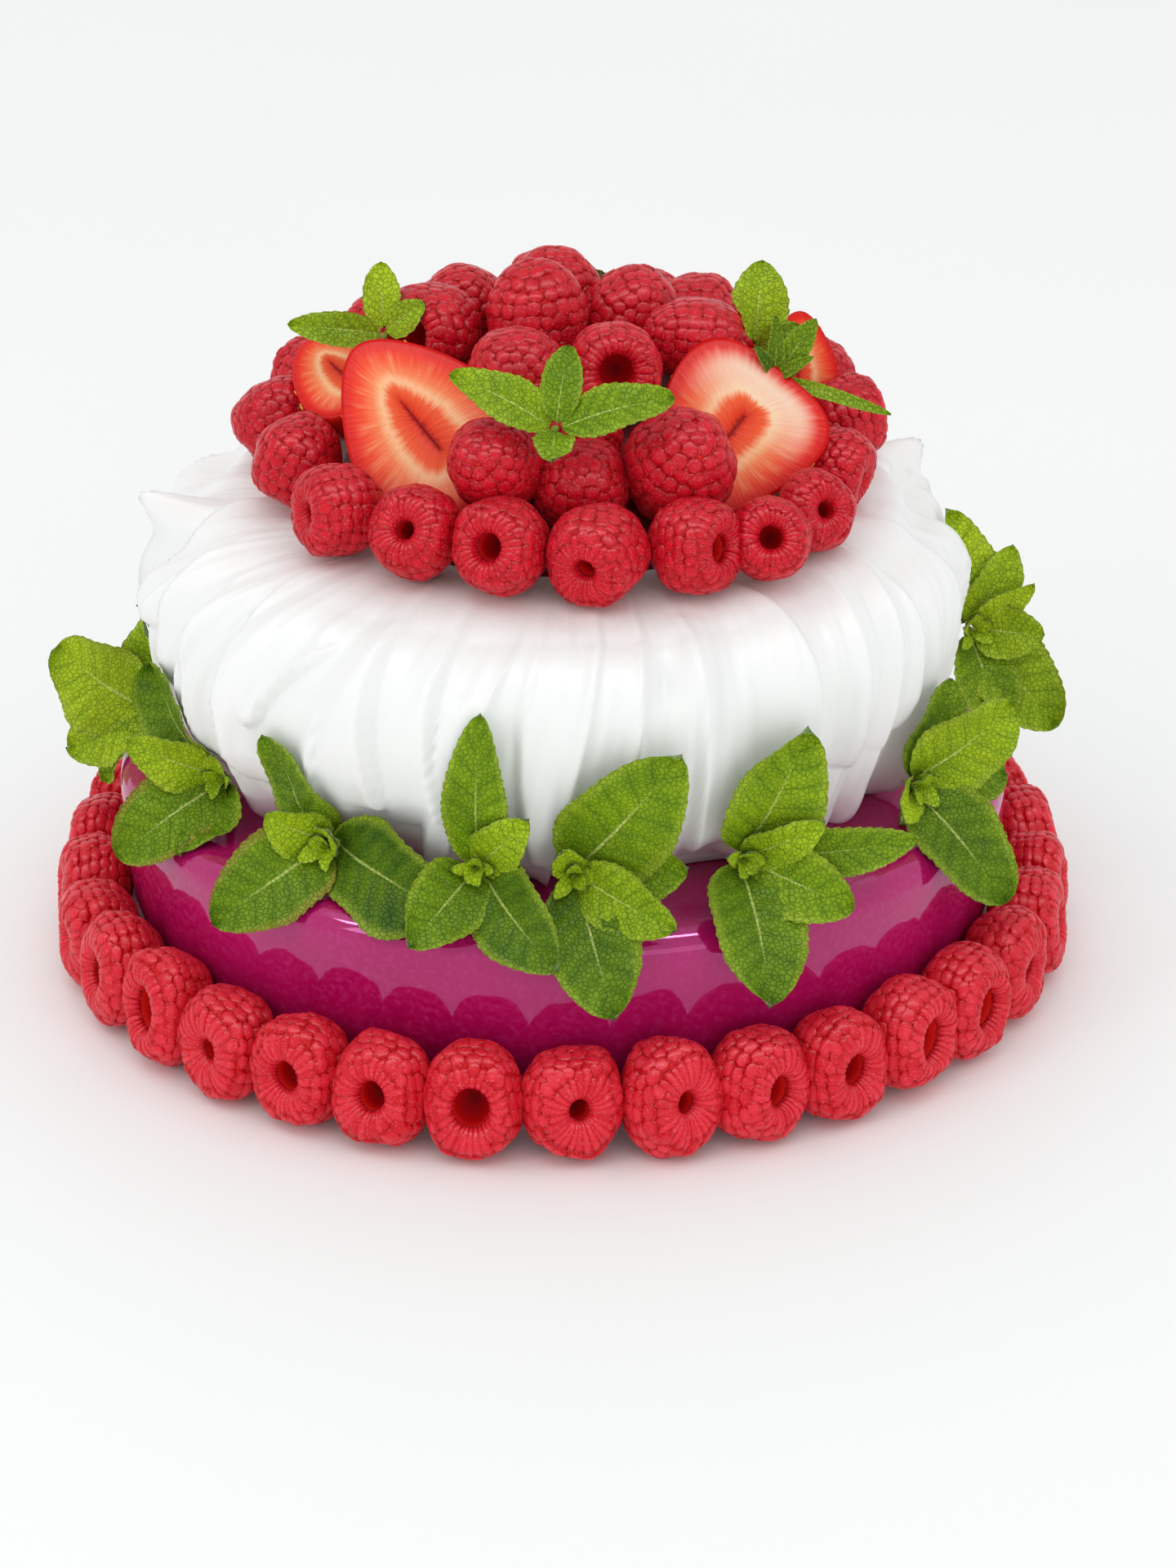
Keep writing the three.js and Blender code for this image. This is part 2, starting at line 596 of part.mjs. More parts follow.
// Where each sprig's head is (azimuth, radius, height), where it faces, and its leaves.
const BASE_SPRIGS = [
  { at: [-88, 95.5, 53.5], faces: -38, leaves: FAR_LEFT },
  { at: [-59, 87, 57], faces: -30, leaves: LEFT },
  { at: [-33.5, 90, 56], faces: -24, leaves: FRONT_LEFT },
  { at: [-11.5, 90, 56.5], faces: -10, leaves: FRONT_UPRIGHT },
  { at: [1.5, 90, 56], faces: 2, leaves: FRONT },
  { at: [24.5, 91, 56], faces: 18, leaves: FRONT_RIGHT },
  { at: [54.5, 87, 57.5], faces: 30, leaves: RIGHT },
  { at: [95, 98.5, 71], faces: 20, leaves: FAR_RIGHT },
  { at: [128, 90, 56], faces: 128, leaves: BACK },
  { at: [154, 90, 56], faces: 150, leaves: FRONT_UPRIGHT },
  { at: [180, 90, 56.5], faces: 180, leaves: BACK },
  { at: [207, 90, 56], faces: 211, leaves: LEFT },
  { at: [234, 90, 56], faces: 234, leaves: BACK },
];
const BASE_SPRIG_TILT = 12;

function baseSprig(sprig, number, material) {
  const [azimuth, radius, height] = sprig.at;
  const settle = (point) => clearOfMousse(clearOfMeringue(point));
  const geometry = sprigGeometry({
    foot: around(azimuth, radius - 1, MOUSSE_HEIGHT + GAP),
    head: around(azimuth, radius, height),
    azimuth: sprig.faces,
    tilt: BASE_SPRIG_TILT,
    leaves: sprig.leaves,
  }, settle);
  return named(`mint_sprig_${String(number + 1).padStart(2, '0')}`, geometry, material);
}

/** Sprigs among the fruit on top: head, where it faces, its tilt, and its leaves. */
const TOP_SPRIGS = {
  top_mint_front: {
    head: [-1.5, -51, 141], azimuth: 0, tilt: 45,
    leaves: [[-66, 12, 25, 13], [9, 15, 17, 9], [80, 12, 28, 13], [185, 25, 11, 10]],
  },
  top_mint_left: {
    head: [-39.5, 1, 145], azimuth: -10, tilt: 20,
    leaves: [[-7, 0, 16, 9], [52, 14, 12, 8], [-88, 10, 22, 8]],
  },
  top_mint_right: {
    head: [42.3, -3, 142.6], azimuth: 5, tilt: 20,
    leaves: [[8, 0, 20, 14], [62, 20, 12, 6]],
  },
  top_mint_back: {
    head: [0.5, 69, 136], azimuth: 180, tilt: 30,
    leaves: [[-128, 12, 20, 12], [122, 12, 21, 12], [178, 30, 15, 10]],
  },
};

function topSprig(name, material) {
  const { head, azimuth, tilt, leaves } = TOP_SPRIGS[name];
  const top = new THREE.Vector3(...head);
  const foot = top.clone().add(new THREE.Vector3(0, 0, -3));
  return named(name, sprigGeometry({ foot, head: top, azimuth, tilt, leaves }, clearOfHeap), material);
}

// ---------------------------------------------------------------- assembly

const glaze = finish(0x8f1a5e, 0.12);
const whisked = finish(0xf7f6f3, 0.55);
const raspberry = finish(0xb4152f, 0.5);
const strawberry = finish(0xd8402c, 0.35);
const mint = finish(0x5f9a1f, 0.6);

const cake = new THREE.Group();
cake.add(named('mousse_round', mousseGeometry(), glaze));
cake.add(named('meringue', meringueGeometry(), whisked));

const baseRing = new THREE.Group();
for (let number = 0; number < RING_COUNT; number += 1) baseRing.add(ringBerry(number, raspberry));
cake.add(baseRing);

const baseMint = new THREE.Group();
BASE_SPRIGS.forEach((sprig, number) => baseMint.add(baseSprig(sprig, number, mint)));
cake.add(baseMint);

const topFruit = new THREE.Group();
const strawberryNames = Object.keys(STRAWBERRIES);
const cutters = strawberryNames.map((name) => toSolid(strawberryGeometry(STRAWBERRIES[name], GAP)));
topFruit.add(named('raspberry_heap', heapGeometry(cutters), raspberry));
for (const name of strawberryNames) {
  topFruit.add(named(name, strawberryNodeGeometry(name), strawberry));
}
for (const name of Object.keys(TOP_SPRIGS)) topFruit.add(topSprig(name, mint));
cake.add(topFruit);

export default cake;
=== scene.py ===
"""Fruit pavlova: a glazed mousse round, a pleated meringue on it, and berries and mint on both.

Sizes and places are in millimetres, as a baker would measure them, and become metres when a
mesh is made. Azimuths are degrees round the cake from the front (-Y) towards the right (+X).
"""

import json
import math
from collections import namedtuple

import bpy
import numpy as np
from mathutils import Matrix, Quaternion, Vector
from mathutils.bvhtree import BVHTree

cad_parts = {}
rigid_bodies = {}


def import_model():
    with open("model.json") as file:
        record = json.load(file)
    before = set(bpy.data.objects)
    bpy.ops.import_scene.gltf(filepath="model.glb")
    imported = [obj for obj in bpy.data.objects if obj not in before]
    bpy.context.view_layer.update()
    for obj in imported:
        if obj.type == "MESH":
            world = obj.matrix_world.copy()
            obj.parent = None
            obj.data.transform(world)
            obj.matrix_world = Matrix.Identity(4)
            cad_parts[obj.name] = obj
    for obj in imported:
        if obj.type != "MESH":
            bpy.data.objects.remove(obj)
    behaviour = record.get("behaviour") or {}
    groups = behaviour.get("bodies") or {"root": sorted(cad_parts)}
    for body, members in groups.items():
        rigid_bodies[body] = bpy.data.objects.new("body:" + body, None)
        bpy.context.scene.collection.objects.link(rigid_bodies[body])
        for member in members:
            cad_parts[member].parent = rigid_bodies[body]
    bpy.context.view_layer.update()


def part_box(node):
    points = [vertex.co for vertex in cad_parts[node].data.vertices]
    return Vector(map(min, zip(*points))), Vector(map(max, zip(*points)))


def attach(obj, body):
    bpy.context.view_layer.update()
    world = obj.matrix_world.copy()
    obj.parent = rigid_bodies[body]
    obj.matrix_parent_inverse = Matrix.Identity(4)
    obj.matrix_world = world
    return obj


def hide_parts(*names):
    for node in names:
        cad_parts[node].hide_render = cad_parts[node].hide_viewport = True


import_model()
MM = 0.001

# ---------------------------------------------------------------- sizes of the cake

MOUSSE_RADIUS = 104
MOUSSE_FOOT_RADIUS = 99.5
MOUSSE_HEIGHT = 47
MOUSSE_SHOULDER = 6
MOUSSE_SIDES = 200

MERINGUE_FOOT = 47.3
MERINGUE_TOP = 111
MERINGUE_SIDE = [
    (75, 47.3), (85, 57), (90.5, 69), (93.5, 84), (92.5, 96), (86.5, 105), (77, 110), (64, 111.4),
    (48, 111.4),
]
PLEATS = 25
PLEAT_DEPTH = 3.8
PLEAT_SWIRL = 9
LID_SLOPE = 0.065

RING_COUNT = 34
RING_TILT = 7
RING_RADIUS = 110.7
RING_SWAY = 1.2  # degrees by which the berries of the ring stand closer in front and behind

# The side veins of a mint leaf, which its quilting and its finish share.
SIDE_VEINS = 7
VEIN_SLANT = 0.17
VEIN_SHIFT = 0.4

# ---------------------------------------------------------------- small helpers


def draw(seed):
    """A repeatable draw between 0 and 1 for a whole number, or for an array of them."""
    wave = np.sin(np.asarray(seed, float) * 12.9898 + 4.137) * 43758.5453
    return wave - np.floor(wave)


def spread(seed, low, high):
    """A repeatable draw between two numbers."""
    return low + (high - low) * draw(seed)


def mix(a, b, t):
    """The value at a share t of the way from a to b."""
    return a + (b - a) * t


def around(azimuth, radius, z):
    """A place on the cake by azimuth, distance from the middle and height."""
    a = np.radians(azimuth)
    return np.stack(np.broadcast_arrays(radius * np.sin(a), -radius * np.cos(a), z), axis=-1)


def axes_by(right, out):
    """Matrix whose columns are right, up and out."""
    return np.column_stack([right, np.cross(out, right), out])


def facing(azimuth, tilt):
    """The axes of what faces an azimuth, raised by a tilt."""
    right = around(azimuth + 90, 1.0, 0.0)
    out = around(azimuth, math.cos(math.radians(tilt)), math.sin(math.radians(tilt)))
    return axes_by(right, out)


def unit(vector):
    return vector / np.linalg.norm(vector)


def apart(azimuth, other):
    """Degrees from one azimuth to another, between -180 and 180."""
    return (azimuth - other + 540) % 360 - 180


def bell(distance, reach):
    """1 at a distance of 0, and softly down to nothing past the reach."""
    return np.exp(-((distance / reach) ** 2))


def curve_through(points, t):
    """Places at shares t of a smooth curve through points."""
    points = np.asarray(points, float)
    last = len(points) - 1
    reach = np.clip(np.asarray(t, float), 0, 1) * last
    i = np.minimum(reach.astype(int), last - 1)
    w = (reach - i)[..., None]
    before, start = points[np.maximum(i - 1, 0)], points[i]
    end, after = points[i + 1], points[np.minimum(i + 2, last)]
    leave, arrive = (end - before) / 2, (after - start) / 2
    cubic = 2 * start - 2 * end + leave + arrive
    square = -3 * start + 3 * end - 2 * leave - arrive
    return cubic * w**3 + square * w**2 + leave * w + start


# ---------------------------------------------------------------- shells


class Shell:
    """Points in millimetres, faces, and values that the material reads at each point."""

    def __init__(self, points, faces, **values):
        self.points = np.asarray(points, float)
        self.faces = [tuple(int(i) for i in face) for face in faces]
        self.values = {key: np.asarray(value, float) for key, value in values.items()}

    def outward(self):
        """Turns the faces if they point inwards."""
        triangles = [(f[0], f[i], f[i + 1]) for f in self.faces for i in range(1, len(f) - 1)]
        a, b, c = np.moveaxis(self.points[triangles], 1, 0)
        if np.sum(a * np.cross(b, c)) < 0:
            self.faces = [face[::-1] for face in self.faces]
        return self


def gathered(shells):
    """One shell of many, whose values are vectors. A value that a shell lacks is 0 there."""
    starts = np.cumsum([0] + [len(shell.points) for shell in shells])
    faces = [
        tuple(i + start for i in face) for shell, start in zip(shells, starts) for face in shell.faces
    ]
    values = {
        key: np.concatenate([
            shell.values.get(key, np.zeros(shell.points.shape)) for shell in shells
        ])
        for key in sorted({key for shell in shells for key in shell.values})
    }
    return Shell(np.concatenate([shell.points for shell in shells]), faces, **values)


def skin_faces(rows, columns, closed=True):
    """Faces over rows of points. A closed skin joins its last column to its first."""
    starts = range(0, (rows - 1) * columns, columns)
    sides = [(column, (column + 1) % columns) for column in range(columns if closed else columns - 1)]
    return [(i + a, i + b, i + b + columns, i + a + columns) for i in starts for a, b in sides]


def fan_faces(first, columns, hub, flip):
    """Faces from a closed row of points to a hub."""
    sides = [(first + column, first + (column + 1) % columns) for column in range(columns)]
    return [(hub, b, a) if flip else (hub, a, b) for a, b in sides]


def closed_skin(rings, hubs, **values):
    """A closed body of rings of points, with a hub at each end."""
    rows, columns, _ = np.shape(rings)
    count = rows * columns
    faces = skin_faces(rows, columns) + fan_faces(0, columns, count, True)
    faces += fan_faces(count - columns, columns, count + 1, False)
    return Shell(np.vstack([np.reshape(rings, (-1, 3)), hubs]), faces, **values).outward()


def revolved(outline, sides, **values):
    """A closed body round +Z. The outline starts and ends on the axis."""
    outline = np.asarray(outline, float)
    angles = np.radians(np.arange(sides) * 360 / sides)
    radii, heights = outline[1:-1, :1], outline[1:-1, 1:]
    rings = np.broadcast_arrays(radii * np.cos(angles), radii * np.sin(angles), heights)
    hubs = [(0, 0, outline[0, 1]), (0, 0, outline[-1, 1])]
    at_points = {
        key: np.append(np.repeat(value[1:-1], sides), [value[0], value[-1]])
        for key, value in values.items()
    }
    return closed_skin(np.stack(rings, axis=-1), hubs, **at_points)


def write_values(mesh, key, kind, values):
    """Writes one value for each point of a mesh, for its material or its growing tree."""
    field = "vector" if kind == "FLOAT_VECTOR" else "value"
    values = values.astype(np.int32 if kind == "INT" else float)
    mesh.attributes.new(key, kind, "POINT").data.foreach_set(field, values.ravel())


def make_mesh(name, shell, finish, smooth=True):
    mesh = bpy.data.meshes.new(name)
    mesh.from_pydata((shell.points * MM).tolist(), [], shell.faces)
    for key, values in shell.values.items():
        write_values(mesh, key, "FLOAT_VECTOR" if values.ndim == 2 else "FLOAT", values)
    mesh.polygons.foreach_set("use_smooth", [smooth] * len(mesh.polygons))
    mesh.materials.append(finish)
    mesh.update()
    return mesh


def place_in_scene(name, data):
    placed = bpy.data.objects.new(name, data)
    bpy.context.scene.collection.objects.link(placed)
    return placed


def make_piece(name, shell, finish, smooth=True):
    """A Blender object of a shell, at the origin, with its place in its mesh."""
    return place_in_scene(name, make_mesh(name, shell, finish, smooth))


def dress(piece, slot, *nodes):
    """Rides the piece on the cake and hides the nodes that it stands for. The slot is not used."""
    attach(piece, "root")
    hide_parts(*nodes)


# ---------------------------------------------------------------- finishes


def tint(red, green, blue):
    """Linear colour from red, green and blue between 0 and 255."""
    def linear(value):
        value /= 255
        return value / 12.92 if value <= 0.04045 else ((value + 0.055) / 1.055) ** 2.4

    return linear(red), linear(green), linear(blue), 1.0


class Nodes:
    """Short calls that add nodes to a tree. An input is a plain value or a socket to link."""

    def __init__(self, tree):
        self.tree = tree

    def add(self, kind, inputs, **settings):
        node = self.tree.nodes.new(kind)
        for key, value in settings.items():
            setattr(node, key, value)
        for key, value in inputs.items():
            if isinstance(value, bpy.types.NodeSocket):
                self.tree.links.new(value, node.inputs[key])
            else:
                node.inputs[key].default_value = value
        return node

    def node(self, kind, inputs, output=0, **settings):
        """Adds a node and gives one of its outputs."""
        return self.add(kind, inputs, **settings).outputs[output]

    def math(self, operation, a, b=0.0):
        return self.node("ShaderNodeMath", {0: a, 1: b}, operation=operation)

    def plus(self, a, b):
        return self.math("ADD", a, b)

    def less(self, a, b):
        return self.math("SUBTRACT", a, b)

    def times(self, a, b):
        return self.math("MULTIPLY", a, b)

    def vectors(self, operation, a, b):
        return self.node("ShaderNodeVectorMath", {0: a, 1: b}, operation=operation)

    def scaled(self, vector, scale):
        return self.node("ShaderNodeVectorMath", {0: vector, "Scale": scale}, operation="SCALE")

    def length(self, vector):
        return self.node("ShaderNodeVectorMath", {0: vector}, "Value", operation="LENGTH")


class Finish(Nodes):
    """A material with one principled shader. Scales of its patterns are in cells per metre."""

    def __init__(self, name, **settings):
        self.material = bpy.data.materials.new(name)
        self.material.use_nodes = True
        super().__init__(self.material.node_tree)
        self.shader = self.tree.nodes["Principled BSDF"]
        for key, value in settings.items():
            self.shader.inputs[key.replace("_", " ")].default_value = value

    def value(self, name):
        """A number that the piece holds at each point."""
        return self.node("ShaderNodeAttribute", {}, "Fac", attribute_name=name)

    def axes(self, name):
        """A vector that the piece holds at each point, and its three numbers."""
        vector = self.node("ShaderNodeAttribute", {}, "Vector", attribute_name=name)
        return [vector, *self.add("ShaderNodeSeparateXYZ", {"Vector": vector}).outputs]

    def place(self):
        return self.node("ShaderNodeTexCoord", {}, "Object")

    def stretched(self, vector, scale):
        return self.node("ShaderNodeMapping", {"Vector": vector, "Scale": scale})

    def noise(self, vector, scale, detail=3.0, roughness=0.5):
        inputs = {"Vector": vector, "Scale": scale, "Detail": detail, "Roughness": roughness}
        return self.node("ShaderNodeTexNoise", inputs, "Fac")

    def cells(self, vector, scale):
        """Distance to the borders of a net of cells."""
        inputs = {"Vector": vector, "Scale": scale}
        return self.node("ShaderNodeTexVoronoi", inputs, "Distance", feature="DISTANCE_TO_EDGE")

    def between(self, value, low, high):
        """0 below low, 1 above high, and smooth between them."""
        inputs = {"Value": value, "From Min": low, "From Max": high}
        return self.node("ShaderNodeMapRange", inputs, interpolation_type="SMOOTHSTEP")

    def ramp(self, factor, *stops):
        """Colour by a factor, from stops that are each a place from 0 to 1 and a colour."""
        ramp = self.add("ShaderNodeValToRGB", {"Fac": factor})
        elements = ramp.color_ramp.elements
        for place, colour in stops[1:-1]:
            elements.new(place).color = colour
        for element, (place, colour) in ((elements[0], stops[0]), (elements[-1], stops[-1])):
            element.position = place
            element.color = colour
        return ramp.outputs["Color"]

    def mix(self, factor, a, b):
        """Colour a, covered with colour b by a factor."""
        return self.node("ShaderNodeMix", {0: factor, 6: a, 7: b}, 2, data_type="RGBA")

    def bump(self, height, distance, under=None):
        inputs = {"Height": height, "Distance": distance * MM}
        if under is not None:
            inputs["Normal"] = under
        return self.node("ShaderNodeBump", inputs)

    def set(self, socket, value):
        self.tree.links.new(value, self.shader.inputs[socket])


def glaze_finish():
    """Mirror glaze: magenta with a faint pearl, under a clear wet coat."""
    glaze = Finish(
        "mirror_glaze", Roughness=0.06, IOR=1.85, Specular_Tint=(1.0, 0.42, 0.86, 1.0),
        Subsurface_Weight=0.12, Subsurface_Radius=(1.0, 0.15, 0.5), Subsurface_Scale=0.003,
    )
    place = glaze.place()
    clouds = glaze.noise(place, 22.0, 4.0)
    pearl = glaze.noise(place, 700.0)
    base = glaze.ramp(clouds, (0.3, tint(156, 0, 73)), (0.7, tint(176, 16, 94)))
    pearled = glaze.times(glaze.between(pearl, 0.45, 0.75), 0.3)
    glaze.set("Base Color", glaze.mix(pearled, base, tint(194, 56, 134)))
    glaze.set("Normal", glaze.bump(clouds, 0.12))
    return glaze.material


def meringue_finish():
    """Whisked egg white: nearly pure white, soft inside, with a satin sheen on the skin, and painted
    shade deep in its folds.
    """
    white = Finish(
        "whisked_meringue", Roughness=0.45, Subsurface_Weight=0.2, Subsurface_Scale=0.0015,
        Subsurface_Radius=(1.0, 0.95, 0.9), Specular_IOR_Level=0.3,
    )
    place = white.place()
    drift = white.noise(place, 40.0, 4.0)
    foam = white.noise(place, 1400.0, 2.0)
    base = white.ramp(drift, (0.3, tint(241, 243, 242)), (0.7, tint(244, 245, 244)))
    # Deep in a fold the white turns a little greyer and greener: painted shade in the folds.
    white.set("Base Color", white.mix(white.value("fold"), base, tint(239, 242, 238)))
    smear = white.noise(white.stretched(place, (1.0, 1.0, 0.25)), 260.0)
    white.set("Normal", white.bump(foam, 0.02, under=white.bump(smear, 0.12)))
    return white.material


def raspberry_finish(name, crease_shade, flesh, crest_highlight):
    """Raspberry: glossy red drupelets under a velvety bloom, with painted shade in the creases
    between them and a painted highlight on some of their crests.
    """
    berry = Finish(
        name, Roughness=0.3, Sheen_Weight=0.05, Sheen_Roughness=0.35,
        Sheen_Tint=tint(255, 140, 160), Specular_IOR_Level=0.2,
    )
    place, crest = berry.place(), berry.value("crest")
    blotch = berry.times(berry.noise(place, 700.0), 0.5)
    shade = berry.plus(berry.times(berry.value("tone"), 0.5), blotch)
    # lit picks the crests that carry the painted highlight; body turns to the painted shade colour
    # low between the drupelets.
    lit = berry.times(berry.between(shade, 0.0, 0.75), berry.between(crest, 0.55, 0.95))
    body = berry.mix(berry.between(crest, 0.1, 0.75), crease_shade, berry.mix(lit, flesh, crest_highlight))
    fuzz = berry.noise(place, 2200.0, 2.0)
    downy = berry.times(berry.between(fuzz, 0.54, 0.7), 0.22)
    berry.set("Base Color", berry.mix(downy, body, tint(238, 150, 156)))
    berry.set("Normal", berry.bump(fuzz, 0.05))
    return berry.material


def hollow_finish():
    """Body of a raspberry under its drupelets: a matt hollow with a painted orange-red glow just
    inside its mouth and painted shade that darkens it deep inside.
    """
    inside = Finish("raspberry_hollow", Roughness=0.7, Specular_IOR_Level=0.08)
    fibres = inside.noise(inside.place(), 900.0)
    deep = inside.plus(inside.value("hollow"), inside.times(fibres, 0.12))
    # Along the hollow: a painted glow of orange-red just inside the mouth, then painted shade down to
    # maroon at the hollow's end.
    inside.set("Base Color", inside.ramp(
        deep, (0.0, tint(196, 6, 30)), (0.14, tint(232, 52, 36)), (0.36, tint(226, 26, 22)),
        (0.62, tint(180, 4, 16)), (1.0, tint(112, 0, 12)),
    ))
    inside.set("Normal", inside.bump(fibres, 0.05))
    return inside.material


def strawberry_finish():
    """Cut strawberry: red rim, pale rays, a red heart, and a glossy seeded skin behind."""
    fruit = Finish(
        "strawberry_flesh", Roughness=0.32, Subsurface_Weight=0.25, Subsurface_Scale=0.0015,
        Subsurface_Radius=(1.0, 0.3, 0.15), Specular_IOR_Level=0.12,
    )
    ray, *_, rim = fruit.axes("ray")
    _, skin, pale_end, seed = fruit.axes("part")
    fibres = fruit.noise(fruit.stretched(ray, (9.0, 9.0, 0.7)), 1.4, 4.0, 0.62)
    depth = fruit.plus(rim, fruit.times(fruit.less(fibres, 0.5), 0.2))
    flesh = fruit.ramp(
        depth, (0.0, tint(170, 14, 8)), (0.05, tint(232, 58, 24)), (0.24, tint(244, 96, 44)),
        (0.36, tint(255, 198, 148)), (0.5, tint(250, 130, 78)), (0.68, tint(244, 76, 34)),
        (0.84, tint(232, 34, 16)), (1.0, tint(206, 6, 10)),
    )
    streak = fruit.times(fruit.between(fibres, 0.45, 0.7), 0.45)
    rays = fruit.times(fruit.between(depth, 0.3, 0.36), fruit.between(depth, 0.9, 0.7))
    flesh = fruit.mix(rays, flesh, fruit.mix(streak, flesh, tint(255, 188, 132)))
    outer = fruit.times(fruit.between(depth, 0.28, 0.36), fruit.between(depth, 0.92, 0.62))
    flesh = fruit.mix(fruit.times(pale_end, outer), flesh, tint(250, 244, 218))
    blotch = fruit.noise(fruit.place(), 140.0)
    peel = fruit.ramp(blotch, (0.3, tint(196, 14, 18)), (0.75, tint(222, 48, 28)))
    fruit.set("Base Color", fruit.mix(seed, fruit.mix(skin, flesh, peel), tint(224, 176, 88)))
    fruit.set("Normal", fruit.bump(fibres, 0.25))
    return fruit.material


def mint_finish():
    """Mint leaf: quilted between its side veins, painted lighter on the swells between them and
    darker along them as painted light and shade of the quilting, with a pale midrib and a paler
    underside.
    """
    leaf = Finish(
        "mint_leaf", Roughness=0.5, Specular_IOR_Level=0.15,
        Subsurface_Weight=0.08, Subsurface_Radius=(0.4, 1.0, 0.1), Subsurface_Scale=0.0008,
    )
    _, along, aside, tone = leaf.axes("leaf")
    _, under, stalk, brown = leaf.axes("side")
    place = leaf.place()
    away = leaf.math("ABSOLUTE", aside)
    drift = leaf.noise(place, 160.0, 2.0)
    blotch = leaf.noise(place, 120.0, 4.0)

    climb = leaf.times(leaf.less(along, leaf.times(away, VEIN_SLANT)), SIDE_VEINS)
    climb = leaf.plus(climb, leaf.times(leaf.math("GREATER_THAN", aside, 0.0), VEIN_SHIFT))
    cell = leaf.math("FRACT", leaf.plus(climb, leaf.times(drift, 0.3)))
    to_vein = leaf.math("ABSOLUTE", leaf.less(cell, 0.5))
    vein = leaf.between(to_vein, 0.42, 0.5)
    net = leaf.between(leaf.cells(place, 900.0), 0.12, 0.0)

    light = leaf.plus(leaf.times(tone, 0.62), leaf.times(blotch, 0.38))
    # Lighter green on the swells between the side veins and darker green at the veins: painted light
    # and shade of the quilting.
    light = leaf.plus(light, leaf.times(leaf.less(0.25, to_vein), 0.16))
    green = leaf.ramp(
        light, (0.14, tint(64, 98, 14)), (0.45, tint(118, 152, 14)), (0.8, tint(176, 204, 30)),
    )
    green = leaf.mix(leaf.times(net, 0.14), green, tint(58, 100, 16))
    # On the upper side the side veins are darkened: painted shade in their grooves.
    green = leaf.mix(leaf.times(vein, 0.36), green, tint(62, 102, 16))
    rib_width = leaf.less(0.026, leaf.times(along, 0.026))
    rib = leaf.between(leaf.less(away, rib_width), 0.02, 0.0)
    rib = leaf.times(rib, leaf.between(along, 0.85, 0.4))
    green = leaf.mix(leaf.times(rib, 0.7), green, tint(204, 218, 120))
    green = leaf.mix(leaf.times(leaf.between(away, 0.7, 1.0), 0.6), green, tint(168, 190, 56))
    rust = leaf.times(brown, leaf.between(away, 0.72, 1.0))
    green = leaf.mix(rust, green, tint(150, 92, 60))

    back = leaf.ramp(blotch, (0.3, tint(118, 150, 88)), (0.7, tint(150, 178, 108)))
    back = leaf.mix(leaf.times(vein, 0.45), back, tint(196, 210, 150))
    stem = leaf.ramp(blotch, (0.3, tint(120, 138, 48)), (0.7, tint(150, 168, 60)))
    leaf.set("Base Color", leaf.mix(stalk, leaf.mix(under, green, back), stem))
    relief = leaf.less(leaf.noise(place, 420.0), leaf.times(net, 0.4))
    leaf.set("Normal", leaf.bump(relief, 0.5))
    return leaf.material


# ---------------------------------------------------------------- mousse


def mousse_shell():
    """Lathe outline: flat foot, side that curves in below, round shoulder and flat top."""
    middle = (MOUSSE_RADIUS - MOUSSE_SHOULDER, MOUSSE_HEIGHT - MOUSSE_SHOULDER)
    turn = np.linspace(0, math.pi / 2, 12)
    arc = np.stack([
        middle[0] + MOUSSE_SHOULDER * np.cos(turn), middle[1] + MOUSSE_SHOULDER * np.sin(turn),
    ], axis=1)
    rise = np.linspace(0, 1, 14)[:-1]
    side = np.stack([
        mix(MOUSSE_FOOT_RADIUS, arc[0, 0], np.sin(rise * math.pi / 2)), mix(0.8, arc[0, 1], rise),
    ], axis=1)
    foot = [(0, 0), (MOUSSE_FOOT_RADIUS - 6, 0), (MOUSSE_FOOT_RADIUS - 0.6, 0.15)]
    top = [(radius, MOUSSE_HEIGHT) for radius in (90, 80, 60, 30, 0)]
    shell = revolved(np.vstack([foot, side, arc, top]), MOUSSE_SIDES)
    flow = np.arctan2(shell.points[:, 1], shell.points[:, 0])
    radius = np.hypot(shell.points[:, 0], shell.points[:, 1])
    height = shell.points[:, 2] / MOUSSE_HEIGHT
    wave = 0.22 * np.sin(3 * flow + 1) + 0.14 * np.sin(8 * flow + 5 * height) - 0.3
    swell = 1 + wave * np.clip(height, 0, 1) / np.maximum(radius, 40) * (radius > 90)
    shell.points[:, :2] *= swell[:, None]
    return shell


# ---------------------------------------------------------------- meringue

PLEAT_COLUMNS = 28
PROFILE_ROWS = 128
LID_START = 0.72  # share of the profile where the side has become the lid

